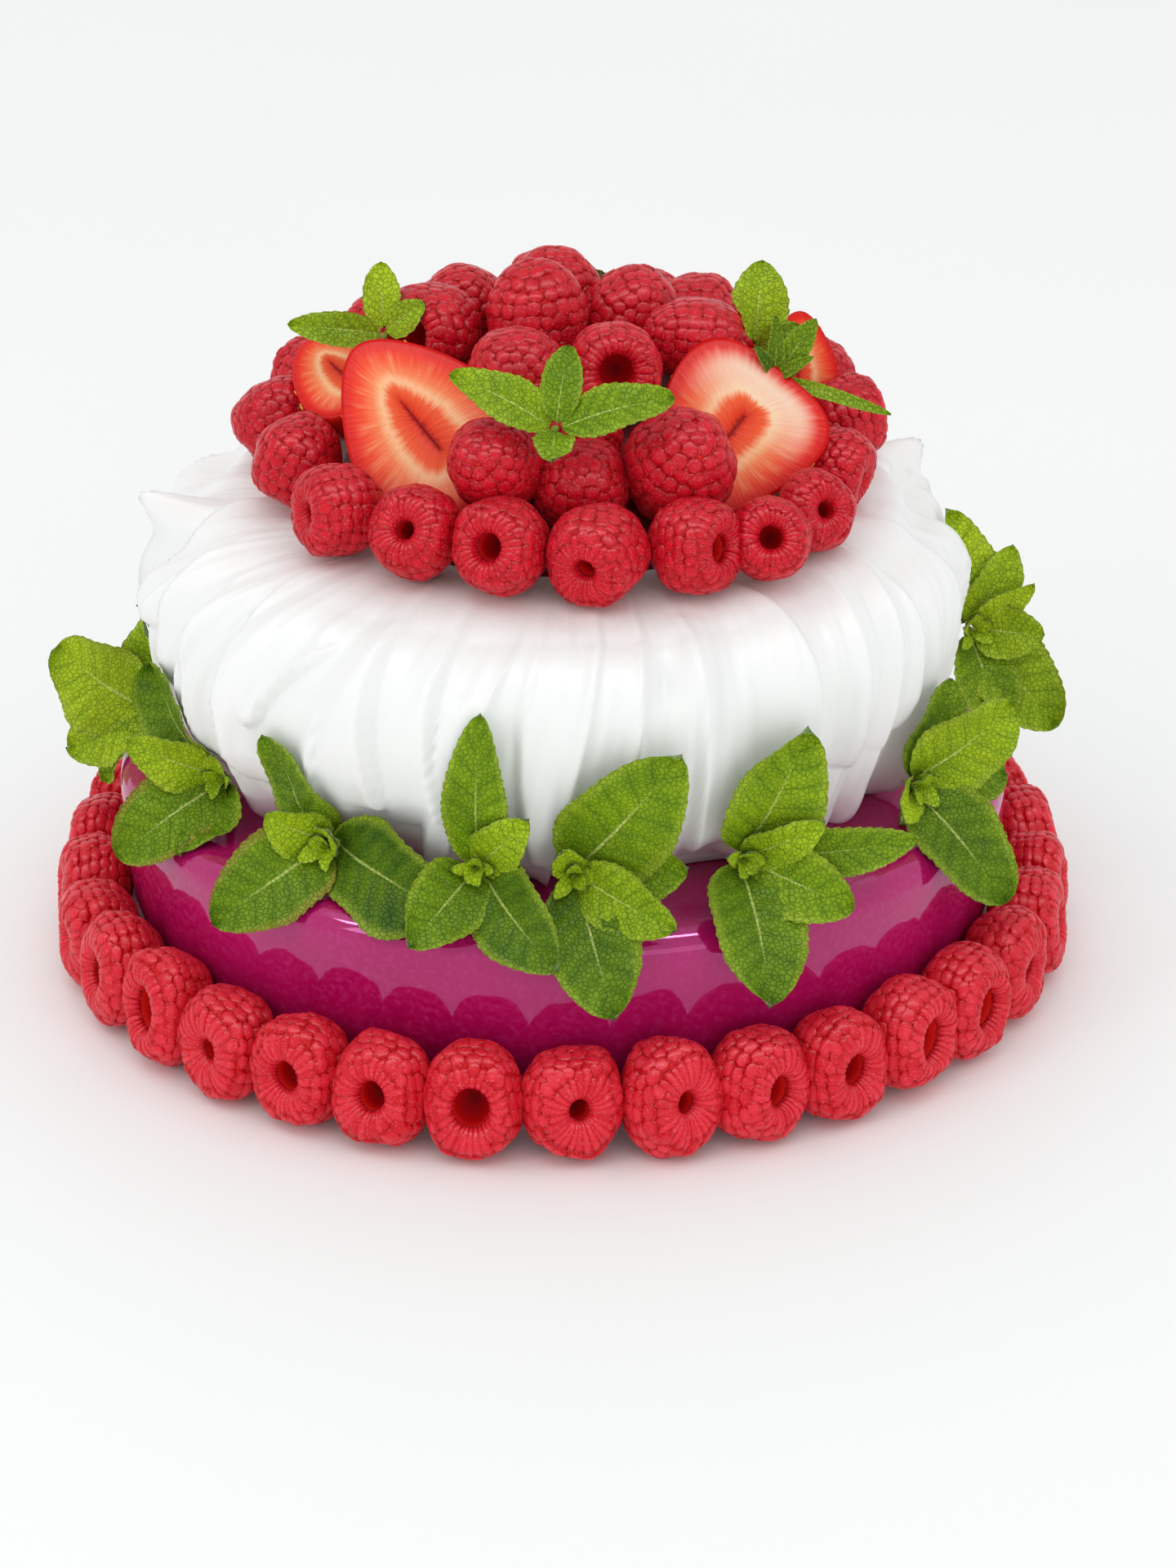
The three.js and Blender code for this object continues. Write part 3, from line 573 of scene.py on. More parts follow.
# Layers that the spatula laid over the pleats: azimuth and share of the profile where each
# starts and ends, how far it stands out, and the reach of its soft side. Its other side is crisp.
LAYERS = [
    (-72, 0.42, -82, 0.95, 5.5, 9), (-67, 0.3, -65, 0.95, 4.2, 6), (-58, 0.18, -56, 0.92, 3.6, 6),
    (-47, 0.2, -48, 0.95, 5.7, 13), (-43, 0.34, -31, 0.64, 6.5, -6),
    (-35, 0.1, -31, 0.5, 4.7, -6), (-24, 0.22, -27, 0.95, 4.9, -9),
    (-15, 0.18, -17, 0.95, 4.2, -6), (-20, 0.05, -13, 0.55, 4.4, 7), (-3, 0.1, -3.5, 0.9, 3.1, 5),
    (11, 0.14, 12, 0.95, 4.7, -6), (20.5, 0.08, 19.5, 0.8, 5.2, 8),
    (38.5, 0.2, 33, 0.97, 4.4, -8), (27, 0.04, 25, 0.5, 3.1, 6), (44.5, 0.25, 49, 0.92, 3.6, -7),
    (58.5, 0.25, 59, 0.95, 4.4, -8), (66, 0.05, 64, 0.6, 3.6, 6), (76, 0.2, 72, 0.95, 4.4, -8),
    (90, 0.1, 80, 0.8, 3.9, 8), (108, 0.1, 96, 0.95, 4.7, 8), (127, 0.05, 118, 0.8, 4.4, -8),
    (146, 0.2, 134, 0.95, 4.7, 8), (166, 0.05, 158, 0.7, 3.9, 7), (184, 0.2, 172, 0.95, 4.7, -8),
    (203, 0.05, 198, 0.8, 4.4, 8), (222, 0.2, 210, 0.95, 4.7, 8), (240, 0.05, 236, 0.7, 4.4, -8),
    (256, 0.2, 246, 0.95, 4.7, 8),
]
LAYER_EDGE = 1.4

# Tips pulled out of the shoulder, or presses into it: azimuth, height and reach in degrees.
PEAKS = [
    (-83, 12, 8), (-106, -6, 24), (96, -6, 60), (107, 10, 5), (-35, 1.5, 5), (140, 3, 5),
    (172, 4, 5), (-150, 5, 5),
]
# Hollows that the spatula pressed: azimuth, share of the profile, the reach of both, and depth.
HOLLOWS = [(-76, 0.63, 6, 0.09, 3.5), (15.5, 0.58, 2.2, 0.1, 4)]
HEM_PLACE, HEM_REACH, HEM_STANDS = 0.06, 0.06, 3
PEAK_PLACE, PEAK_REACH = 0.66, 0.07
LEANS_LEFT = 3


def pleat_azimuth(place, t):
    """Azimuth of a place across the pleats, whose widths differ, at a share t of the side."""
    even = 360 * place / PLEATS
    uneven = 3.2 * np.sin(np.radians(3 * even + 40)) + 2 * np.sin(np.radians(7 * even + 200))
    sway = 2.5 * np.sin(np.radians(2 * even + 180 * t))
    return even + uneven + sway + PLEAT_SWIRL * (t - 0.5)


def scoop(place):
    """How far the spatula cuts in between two ridges, 0 on a ridge to 1."""
    skew = mix(0.55, 1.5, draw(np.floor(place) + 300))
    return np.sin(np.pi * np.clip((place - np.floor(place)) ** skew, 0, 1)) ** 0.8


def peak_rise(azimuth):
    """How far the tips of the shoulder stand up at an azimuth."""
    rise = np.zeros_like(azimuth)
    for middle, height, reach in PEAKS:
        off = np.abs(apart(azimuth, middle))
        rise += height * np.clip(1 - off / reach, 0, 1) ** 2
    return rise


def hollowing(azimuth, t):
    """How deep the pressed hollows are at a place."""
    depth = np.zeros_like(azimuth)
    for middle, height, wide, high, deep in HOLLOWS:
        off = apart(azimuth, middle)
        depth += deep * np.exp(-((off / wide) ** 2) - ((t - height) / high) ** 2)
    return depth


def combing(place, t):
    """Fine lines that the spatula leaves along each pleat, and soft swells across them."""
    pleat = np.floor(place) % PLEATS
    share = place - np.floor(place)
    lines = 0.3 * np.sin(2 * np.pi * (share * 2.5 + 0.35 * np.sin(3 * t + pleat) + draw(pleat)))
    fine = 0.12 * np.sin(2 * np.pi * (share * 6 + 0.5 * t + 3 * draw(pleat + 40)))
    swell = 0.7 * np.sin(2 * np.pi * (1.9 * t + draw(pleat + 80))) * np.sin(np.pi * share)
    return (lines + fine + swell) * np.sin(np.pi * np.clip(t * 1.02, 0, 1)) ** 0.7


def layering(azimuth, radius, t):
    """How far the layers stand out at a place, each crisp on one side and soft on the other."""
    height = np.zeros_like(azimuth)
    for number, (start, low, end, high, stands, soft) in enumerate(LAYERS):
        share = (t - low) / (high - low)
        bend = (end - start) * 0.25 * np.sin(np.pi * np.clip(share, 0, 1)) * spread(number, -1, 1)
        middle = mix(start, end, np.clip(share, 0, 1)) + bend
        off = np.radians(apart(azimuth, middle)) * radius * np.sign(soft)
        across = np.where(off > 0, np.exp(-off / abs(soft)), bell(off, LAYER_EDGE))
        share = np.clip(share, 0, 1)
        along = np.clip(share / 0.12, 0, 1) ** 0.5 * (1 - share) ** 0.6
        height = np.maximum(height, stands * across * along)
    return height


def meringue_points(place, t):
    """Places on the meringue, pushed out from its plain profile or cut into it."""
    side = curve_through(MERINGUE_SIDE, t)
    run = curve_through(MERINGUE_SIDE, t + 0.004) - curve_through(MERINGUE_SIDE, t - 0.004)
    run /= np.linalg.norm(run, axis=-1, keepdims=True)
    azimuth = pleat_azimuth(place, t / LID_START)
    depth = PLEAT_DEPTH * spread(np.floor(place) % PLEATS + 500, 0.5, 1.0)
    on_lid = np.clip((t - LID_START) / (1 - LID_START), 0, 1)
    strength = mix(0.75, 1.05, np.sin(np.pi * np.clip(t * 1.3, 0, 1))) * (1 - on_lid) ** 2
    strength *= mix(1, 0.62, np.clip(t / LID_START, 0, 1) ** 4)
    cut = depth * strength * (scoop(place) - 0.4)
    hem = HEM_STANDS * bell(t - HEM_PLACE, HEM_REACH) * (1 - scoop(place))
    layers = layering(azimuth, side[..., 0], t) * (1 - on_lid) ** 0.7
    out = hem - cut + combing(place, t) * (1 - on_lid) + layers - hollowing(azimuth, t) - 0.8
    rise = peak_rise(azimuth) * bell(t - PEAK_PLACE, PEAK_REACH)
    radius = side[..., 0] + out * run[..., 1] + 0.9 * rise
    points = around(azimuth, radius, side[..., 1] - out * run[..., 0] + 0.6 * rise)
    points[..., 2] += LID_SLOPE * points[..., 1] * np.clip(t / LID_START, 0, 1) ** 2
    points[..., 0] -= LEANS_LEFT * np.sin(np.pi * np.clip(t / LID_START, 0, 1))
    return points


def meringue_shell():
    """A closed skin of pleats, which marks how deep in a fold each point lies, for the painted shade
    in the folds of its finish.
    """
    place, t = np.meshgrid(
        np.arange(PLEATS * PLEAT_COLUMNS) / PLEAT_COLUMNS, np.linspace(0, 1, PROFILE_ROWS + 1),
    )
    rows = meringue_points(place, t)
    rows[0, :, 2] = MERINGUE_FOOT
    hubs = [(0, 0, MERINGUE_FOOT), (0, 0, MERINGUE_TOP)]
    fold = np.append((scoop(place) * np.clip(1 - t / LID_START, 0, 1) ** 1.5).ravel(), [0, 0])
    return closed_skin(rows, hubs, fold=fold)


# ---------------------------------------------------------------- shapes grown by a rule


def squared_off(nodes, place, power):
    """Pushes places of a unit berry out towards the corners of a square, seen along Z.

    With a power of 2 it stays round. The reach at an angle is (|cos|^power + |sin|^power)
    to the power -1 / power. The hollow in its middle stays round.
    """
    x, y, z = nodes.add("ShaderNodeSeparateXYZ", {"Vector": place}).outputs
    reach = nodes.length(nodes.node("ShaderNodeCombineXYZ", {"X": x, "Y": y}))
    reach = nodes.math("MAXIMUM", reach, 0.001)
    powers = [
        nodes.math("POWER", nodes.math("DIVIDE", nodes.math("ABSOLUTE", side), reach), power)
        for side in (x, y)
    ]
    grown = nodes.math("POWER", nodes.plus(*powers), nodes.math("DIVIDE", -1.0, power))
    outside = nodes.node("ShaderNodeMapRange", {
        "Value": reach, "From Min": HOLLOW_REACH, "From Max": SIDE_REACH,
    })
    grown = nodes.plus(nodes.times(nodes.less(grown, 1.0), outside), 1.0)
    sides = {"X": nodes.times(x, grown), "Y": nodes.times(y, grown), "Z": z}
    return nodes.node("ShaderNodeCombineXYZ", sides)


GROWING_INPUTS = {
    "Geometry": "Geometry", "Shapes": "Collection", "Unevenness": "Float", "Seed": "Int",
    "Squareness": "Float", "Lumpiness": "Float", "Finish": "Material", "Body Finish": "Material",
}
HOLLOW_REACH, SIDE_REACH = 0.45, 0.85  # between them a berry turns from round to square
LUMP_SCALE = 1.1
LUMPS_APART = 400.0  # lets each berry read its own place of the noise


def growing_tree():
    """Geometry Nodes: sets shapes on points of a unit berry, then sizes, turns and places it.

    Each point tells which shape it carries, how that lies and its size, and of its berry the
    half sizes, the turn and the middle. A shape that gives nothing to unevenness is a body.
    """
    tree = bpy.data.node_groups.new("grow_on_points", "GeometryNodeTree")
    for name, kind in GROWING_INPUTS.items():
        tree.interface.new_socket(name, in_out="INPUT", socket_type="NodeSocket" + kind)
    tree.interface.new_socket("Geometry", in_out="OUTPUT", socket_type="NodeSocketGeometry")
    nodes = Nodes(tree)
    given = nodes.add("NodeGroupInput", {}).outputs

    def stored(name):
        inputs, kind = {"Name": name}, POINT_VALUES[name]
        return nodes.node("GeometryNodeInputNamedAttribute", inputs, "Attribute", data_type=kind)

    shapes = nodes.node("GeometryNodeCollectionInfo", {
        "Collection": given["Shapes"], "Separate Children": True, "Reset Children": True,
    }, "Instances")
    give = nodes.times(given["Unevenness"], stored("give"))
    uneven = nodes.node("FunctionNodeRandomValue", {
        "Min": nodes.less(1.0, give), "Max": nodes.plus(1.0, give), "Seed": given["Seed"],
    }, "Value", data_type="FLOAT_VECTOR")
    grown = nodes.node("GeometryNodeInstanceOnPoints", {
        "Points": given["Geometry"], "Instance": shapes, "Pick Instance": True,
        "Instance Index": stored("shape"), "Rotation": stored("lie"),
        "Scale": nodes.vectors("MULTIPLY", stored("size"), uneven),
    }, "Instances")
    real = nodes.node("GeometryNodeRealizeInstances", {"Geometry": grown}, "Geometry")

    place, middle = nodes.node("GeometryNodeInputPosition", {}), stored("middle")
    lump = nodes.node("ShaderNodeMapRange", {
        "Value": nodes.node("ShaderNodeTexNoise", {
            "Vector": nodes.vectors("ADD", place, nodes.scaled(middle, LUMPS_APART)),
            "Scale": LUMP_SCALE, "Detail": 1.0,
        }),
        "To Min": nodes.less(1.0, given["Lumpiness"]), "To Max": nodes.plus(1.0, given["Lumpiness"]),
    })
    lumpy = nodes.scaled(squared_off(nodes, place, given["Squareness"]), lump)
    turned = nodes.node("FunctionNodeRotateVector", {
        "Vector": nodes.vectors("MULTIPLY", lumpy, stored("half")), "Rotation": stored("turn"),
    }, "Vector")
    moved = nodes.node("GeometryNodeSetPosition", {
        "Geometry": real, "Position": nodes.vectors("ADD", turned, middle),
    }, "Geometry")
    clad = nodes.node("GeometryNodeSetMaterial", {"Geometry": moved, "Material": given["Finish"]})
    done = nodes.node("GeometryNodeSetMaterial", {
        "Geometry": clad, "Selection": nodes.math("LESS_THAN", stored("give"), 0.01),
        "Material": given["Body Finish"],
    })
    nodes.add("NodeGroupOutput", {"Geometry": done})
    return tree


POINT_VALUES = {
    "shape": "INT", "lie": "QUATERNION", "size": "FLOAT_VECTOR", "half": "FLOAT_VECTOR",
    "turn": "QUATERNION", "middle": "FLOAT_VECTOR", "tone": "FLOAT", "give": "FLOAT",
}
GROWING = growing_tree()


def grow(name, points, shapes, finish, body_finish=None, **numbers):
    """A piece of shapes set on points, by numbers for the growing tree.

    points holds the places under "at", and an array for each of POINT_VALUES.
    """
    shelf = bpy.data.collections.new(name + "_shapes")
    for number, shell in enumerate(shapes):
        shape = make_mesh(f"{name}_shape_{number}", shell, finish)
        shape.transform(Matrix.Scale(1 / MM, 4))
        shelf.objects.link(bpy.data.objects.new(shape.name, shape))
    mesh = bpy.data.meshes.new(name + "_points")
    mesh.from_pydata(points["at"].tolist(), [], [])
    for key, kind in POINT_VALUES.items():
        write_values(mesh, key, kind, points[key])
    seedbed = place_in_scene(name + "_points", mesh)
    modifier = seedbed.modifiers.new("grow", "NODES")
    modifier.node_group = GROWING
    given = {"Shapes": shelf, "Finish": finish, "Body Finish": body_finish or finish, **numbers}
    for item in GROWING.interface.items_tree:
        if item.in_out == "INPUT" and item.name in given:
            modifier[item.identifier] = given[item.name]
    ready = seedbed.evaluated_get(bpy.context.evaluated_depsgraph_get())
    grown = bpy.data.meshes.new_from_object(ready)
    grown.name = name
    seedbed.modifiers.clear()
    for key in POINT_VALUES:
        if key != "tone" and key in grown.attributes:
            grown.attributes.remove(grown.attributes[key])
    grown.polygons.foreach_set("use_smooth", [True] * len(grown.polygons))
    bpy.data.objects.remove(seedbed)
    for shape in list(shelf.objects):
        bpy.data.objects.remove(shape)
    bpy.data.collections.remove(shelf)
    return place_in_scene(name, grown)


def quaternions(matrices):
    """The turns of some matrices, as the growing tree reads them."""
    return np.array([Matrix(matrix.tolist()).to_quaternion() for matrix in matrices])


# ---------------------------------------------------------------- raspberries

# Widths of the mouth of the hollow, as shares of a berry's half width.
MOUTHS = (0.38, 0.29, 0.21)
WIDE, MIDDLE, NARROW = range(3)
# Spots along a berry's side: how many there are, and which lie at its mouth and in its throat.
SIDE_SPOTS, MOUTH_SPOT, THROAT_SPOT = 401, 290, 318
BODY_SWELL = 1.02

# The drupelet is the first shape, and a body, a long and a short ridge follow for each mouth.
DRUPELET, SHAPES_PER_MOUTH = 0, 3
DRUPELET_PITCH = 0.262
DRUPELET_WIDTH = 0.29
DRUPELET_HEIGHT = 0.06
DRUPELET_ROWS = 9
TIP_DRUPELET_WIDTH = 0.24

RIDGE_COUNT = 27
RIDGE_STARTS = (2.25, 2.42)  # lengths from the tip, of the long and of the short ridges
RIDGE_HEIGHT = 0.044
RIM_DRUPELET_PLACE, RIM_DRUPELET_WIDTH = 2.29, 0.22

# How much of the unevenness reaches the drupelet, and the body and ridges of each mouth.
SHAPE_GIVES = np.array([1, *[0, 0.15, 0.15] * len(MOUTHS)])
LUMPINESS = 0.14

# A raspberry on the cake: middle, half sizes, azimuth and tilt of its own frame, seed, width of
# its mouth, and the azimuth and tilt that its open end looks along.
Berry = namedtuple("Berry", "at half azimuth tilt seed mouth looks")


class BerrySide:
    """Side of a unit raspberry, from its tip over the rim of its mouth to the hollow's end."""

    def __init__(self, mouth):
        knots = [
            (0, -0.95), (0.46, -0.84), (0.8, -0.5), (0.95, -0.08), (0.93, 0.38), (0.81, 0.72),
            (mouth * 0.5 + 0.42, 0.88), (mouth + 0.09, 0.81), (mouth, 0.58), (mouth * 0.85, 0.2),
            (0, 0.02),
        ]
        self.spots = curve_through(knots, np.linspace(0, 1, SIDE_SPOTS))
        steps = np.linalg.norm(np.diff(self.spots, axis=0), axis=1)
        self.lengths = np.append(0, np.cumsum(steps))
        self.rim, self.throat = self.lengths[[MOUTH_SPOT, THROAT_SPOT]]
        self.end = self.lengths[-1]

    def spot(self, length):
        """Distance from the axis, and height, at a length from the tip."""
        return np.array([np.interp(length, self.lengths, self.spots[:, axis]) for axis in (0, 1)])

    def at(self, length):
        """The spot at a length from the tip, and where the skin looks there."""
        run = unit(self.spot(length + 0.02) - self.spot(length - 0.02))
        return self.spot(length), np.array([run[1], -run[0]])


BERRY_SIDES = [BerrySide(mouth) for mouth in MOUTHS]


def berry_body_shell(side):
    """The body under the drupelets, which marks how deep in its hollow each point lies."""
    lengths = np.linspace(0, side.end, 23)
    outline = np.array([side.spot(length) * BODY_SWELL for length in lengths])
    outline[[0, -1], 0] = 0
    hollow = np.clip((lengths - side.rim) / (side.end - side.rim), 0, 1)
    return revolved(outline, 20, hollow=hollow)


def drupelet_shell():
    """A plump dome, one unit wide and high, sunk a little into the berry."""
    outline = [(0, -0.42), (1, -0.36), (0.96, 0.24), (0.66, 0.8), (0, 1)]
    return revolved(outline, 7, crest=np.clip([height for _, height in outline], 0, 1))


def ridge_shell(side, start):
    """A long drupelet bent over the rim of the mouth, in the plane of +X and +Z."""
    steps, sides = 7, 7
    points, crest = [], []
    for share in np.linspace(0, 1, steps):
        (radius, z), out = side.at(mix(start, side.throat, share))
        plump = math.sin(math.pi * mix(0.16, 0.9, share)) ** 0.35
        wide = math.pi * max(radius, 0.36) / RIDGE_COUNT * 1.5 * plump
        high = RIDGE_HEIGHT * plump * mix(1.1, 0.75, share)
        for number in range(sides):
            angle = 2 * math.pi * (number + 0.75) / sides
            lift = math.sin(angle) * high
            points.append((radius + out[0] * lift, wide * math.cos(angle), z + out[1] * lift))
            crest.append(max(0, math.sin(angle)))
    rings = np.reshape(points, (steps, sides, 3))
    return closed_skin(rings, rings[[0, -1]].mean(axis=1), crest=[*crest, 0.2, 0.2])


def berry_shapes():
    """Drupelet first, then body, long ridge and short ridge for each mouth."""
    shapes = [drupelet_shell()]
    for side in BERRY_SIDES:
        shapes += [berry_body_shell(side), *(ridge_shell(side, start) for start in RIDGE_STARTS)]
    return shapes


def drupelet(angle, spot, out, width, key):
    """A drupelet at an angle round a unit berry, as its shape, place, lie and size."""
    c, s = math.cos(angle), math.sin(angle)
    normal = np.array([out[0] * c, out[0] * s, out[1]])
    tangent = np.array([-s, c, 0])
    plump = spread(key + 2000, 0.92, 1.1)
    return (
        DRUPELET, (spot[0] * c, spot[0] * s, spot[1]),
        axes_by(tangent, normal),
        (
            width * 0.7 * plump, DRUPELET_PITCH * 0.72 * plump,
            DRUPELET_HEIGHT * spread(key + 3000, 0.8, 1.2),
        ),
    )


def berry_parts(seed, mouth):
    """Shapes, places, lies and sizes of what makes up a unit berry that looks along +Z.

    These are its body, rows of drupelets from its tip up, and ridges over the rim of its mouth.
    Where a ridge is a short one, a drupelet lies below it.
    """
    side = BERRY_SIDES[mouth]
    body = 1 + SHAPES_PER_MOUTH * mouth
    parts = [(body, (0, 0, 0), np.eye(3), (1, 1, 1))]
    for row in range(DRUPELET_ROWS):
        length = row * DRUPELET_PITCH
        radius = max(side.spot(length)[0], 0.02)
        count = 1 if row == 0 else max(5, round(2 * math.pi * radius / DRUPELET_WIDTH))
        step = 2 * math.pi / count
        width = step * radius if row else TIP_DRUPELET_WIDTH
        for number in range(count):
            key = seed * 977 + row * 41 + number
            angle = step * (number + draw(seed * 31 + row)) + spread(key, -0.13, 0.13) * step
            spot, out = side.at(length + spread(key + 5000, -0.035, 0.035))
            parts.append(drupelet(angle, spot, out, width, key))
    turned = draw(seed * 17 + 3) * 2 * math.pi
    for number in range(RIDGE_COUNT):
        key = seed * 613 + number
        angle = turned + 2 * math.pi * (number + spread(key, -0.14, 0.14)) / RIDGE_COUNT
        short = draw(key + 900) < 0.4
        lie = np.array(Matrix.Rotation(angle, 3, "Z"))
        parts.append((body + 1 + short, (0, 0, 0), lie, (1, spread(key + 70, 0.85, 1.15), 1)))
        if short:
            spot, out = side.at(RIM_DRUPELET_PLACE)
            parts.append(drupelet(angle, spot, out, RIM_DRUPELET_WIDTH, key))
    return [np.array(column) for column in zip(*parts)]


def look_in_berry(berry):
    """Turn of a unit berry, inside its own half sizes, that points its open end where it looks."""
    frame_of_berry = facing(berry.azimuth, berry.tilt)
    wanted = facing(*berry.looks)[:, 2]
    inner = unit((frame_of_berry.T @ wanted) / np.array(berry.half))
    turn = Vector((0, 0, 1)).rotation_difference(Vector(inner))
    return np.array(turn.to_matrix()) @ np.array(Matrix.Rotation(berry.seed * 2.4, 3, "Z"))


def points_of_berry(berry):
    """The points that the growing tree needs to make one berry in its place."""
    shape, at, lie, size = berry_parts(berry.seed, berry.mouth)
    look = look_in_berry(berry)
    count = len(at)
    own_tone = spread(berry.seed * 7 + 1, -0.15, 0.15)
    of_berry = {
        "half": np.array(berry.half) * MM, "middle": np.array(berry.at) * MM,
        "turn": quaternions([facing(berry.azimuth, berry.tilt)])[0],
    }
    return {
        "at": at @ look.T, "shape": shape, "lie": quaternions([look @ matrix for matrix in lie]),
        "size": size, "give": SHAPE_GIVES[shape],
        "tone": np.clip(draw(np.arange(count) + berry.seed * 300) + own_tone, 0, 1),
        **{key: np.tile(value, (count, 1)) for key, value in of_berry.items()},
    }


def raspberries(name, berries, finish, body_finish, squareness):
    """One piece of raspberries, each with its own drupelets."""
    each = [points_of_berry(berry) for berry in berries]
    points = {key: np.concatenate([one[key] for one in each]) for key in each[0]}
    return grow(
        name, points, berry_shapes(), finish, body_finish, Seed=len(berries), Unevenness=0.08,
        Squareness=squareness, Lumpiness=LUMPINESS,
    )


# Degrees by which the open ends that face the front turn off the berry's own azimuth.
RING_LOOKS = {
    0: 15, 1: 27, 2: 26, 3: 8, 4: 14, 5: 0, 28: -4, 29: -4, 30: -3, 31: -2, 32: -5, 33: 2,
}
RING_MOUTHS = {0: NARROW, 1: NARROW, 2: MIDDLE, 31: MIDDLE, 32: MIDDLE, 33: WIDE}

# Half height and half depth of the ring's berries, and how far they stand off the floor.
RING_HALF_HEIGHT = 12.5
RING_HALF_DEPTH = 8.9
RING_LIFT = 0.9


def ring_azimuth(place):
    """Azimuth of a place in the ring, where a whole number is the middle of a berry."""
    even = 1 + 360 * place / RING_COUNT
    return even - RING_SWAY * math.sin(math.radians(2 * even))


def ring_berries():
    """The berries of the ring, each in the middle of its own node and as large."""
    berries = []
    for number in range(RING_COUNT):
        low, high = (np.array(corner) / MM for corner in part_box(f"ring_raspberry_{number + 1:02d}"))
        azimuth = ring_azimuth(number)
        room = math.radians(ring_azimuth(number + 0.5) - ring_azimuth(number - 0.5)) * RING_RADIUS
        half = (
            room / 2 * spread(number + 40, 1.02, 1.06),
            RING_HALF_HEIGHT * spread(number + 80, 0.95, 1.04),
            RING_HALF_DEPTH * spread(number + 120, 0.97, 1.03),
        )
        upright = facing(azimuth, RING_TILT)[2]
        rests_at = math.sqrt(sum((share * size) ** 2 for share, size in zip(upright, half)))
        middle = (low + high) / 2
        off = RING_LOOKS.get(number, spread(number + 240, -14, 14))
        any_mouth = int(draw(number + 1300) * len(MOUTHS))
        berries.append(Berry(
            (middle[0], middle[1], rests_at + RING_LIFT), half, azimuth, RING_TILT, number,
            RING_MOUTHS.get(number, any_mouth),
            (azimuth + off, RING_TILT + spread(number + 160, -8, 6)),
        ))
    return berries


# Crown round the heap: azimuth, distance from the middle and size of each berry.
CROWN = [
    (7, 63.5, 1.04), (25, 65, 0.98), (39.5, 69, 0.88), (55, 66.5, 0.86), (76, 62.5, 0.88),
    (98, 64.5, 0.96), (117, 64.5, 1), (135, 64, 1.02), (153, 64, 0.98), (171, 64, 1.03),
    (189, 64, 1), (207, 64, 0.97), (225, 64, 1.03), (243, 64.5, 1), (262, 65.3, 0.98),
    (285, 60.5, 1.02), (311, 63.5, 1), (329.5, 61, 0.98), (348, 61, 1.01),
]
CROWN_MOUTHS = {1: MIDDLE, 2: MIDDLE, 18: MIDDLE}
# Azimuth and tilt that the open ends of some crown berries look along.
CROWN_LOOKS = {
    0: (-24, -12), 1: (52, 8), 2: (2, 24), 3: (22, 20), 4: (60, -20), 14: (-100, -45),
    15: (-80, -60), 16: (-58, 4), 17: (-22, 24), 18: (-26, 16),
}
CROWN_HALF = np.array([9.9, 10.1, 9.6])
CROWN_FLOOR = 111.3
CROWN_LIFT = 1.045


def crown_berries():
    """The berries that stand on the lid round the heap."""
    berries = []
    for number, (azimuth, radius, size) in enumerate(CROWN):
        at = around(azimuth, radius, CROWN_FLOOR + CROWN_HALF[1] * size * CROWN_LIFT)
        at[2] += LID_SLOPE * at[1]
        faced = (azimuth + spread(number + 680, -28, 28), 14 + spread(number + 720, -12, 12))
        berries.append(Berry(
            at, CROWN_HALF * size, *faced, number + 50, CROWN_MOUTHS.get(number, NARROW),
            CROWN_LOOKS.get(number, faced),
        ))
    return berries


# The heap above the crown: middle, half sizes, and the azimuth and tilt of the open end.
HEAP = [
    ((-14.7, -46, 131.5), (10, 10, 10.5), 150, -35), ((4, -44, 125.8), (10.6, 10, 10), 180, -40),
    ((25.5, -43, 130.5), (11.6, 11.6, 12.3), 200, -45),
    ((-10, -21, 143.3), (10.6, 10.4, 11), 170, -50),
    ((11.4, -19.5, 143.6), (10.2, 10.2, 9), 4, 24), ((-5.8, 2, 149.5), (11, 11, 12), 30, -80),
    ((15.4, 12, 146), (10.4, 10.4, 11.5), 240, -60), ((28.8, -3, 145), (9.4, 9.4, 11), 100, -12),
    ((-29, 7.5, 143.4), (11.6, 11, 10.6), -48, 26), ((-23, 27, 143), (9.8, 9.8, 10.4), 170, -60),
    ((-1.5, 23, 148.5), (10, 10, 10.6), 200, -70), ((31, 33, 138.5), (9.6, 9.6, 10), 170, 10),
    ((-42, 31, 133), (10.4, 10, 10.4), -120, 20), ((-25, 46, 135), (10, 10.4, 10), 215, -30),
    ((-3, 44.5, 139), (10.8, 10.8, 10.6), 182, 18), ((19, 49, 136), (10, 10, 10.6), 160, -35),
    ((44, 37, 131), (9.8, 9.8, 10), 130, 25),
]
# Berries lower in the heap, that close the gaps between the others and the strawberries.
LOW_IN_HEAP = [
    ((-31, -7, 130), (9.5, 9.5, 10), 220, -40), ((9, -5, 132), (9.8, 9.8, 10), 60, -60),
    ((14, 31, 134), (9.6, 9.6, 10), 150, -50), ((34, 13, 133), (9.6, 9.6, 10), 20, -50),
    ((4, -29, 131), (9.4, 9.4, 9.4), 190, -40), ((46, -3, 121.5), (9.6, 9.6, 9.8), 84, 30),
    ((-39, 17, 128), (9.2, 9.2, 9.6), 260, -20), ((42, 21, 123), (9.4, 9.4, 9.6), 100, -30),
]
# Azimuth and tilt that the two open ends look along that face the front.
HEAP_LOOKS = {4: (4, 12), 8: (-38, 8)}


def heap_berries():
    """The berries piled on the lid inside the crown."""
    return [
        Berry(
            np.array(at, float), half, azimuth, tilt, number + 80,
            WIDE if number in HEAP_LOOKS else MIDDLE, HEAP_LOOKS.get(number, (azimuth, tilt)),
        )
        for number, (at, half, azimuth, tilt) in enumerate(HEAP + LOW_IN_HEAP)
    ]


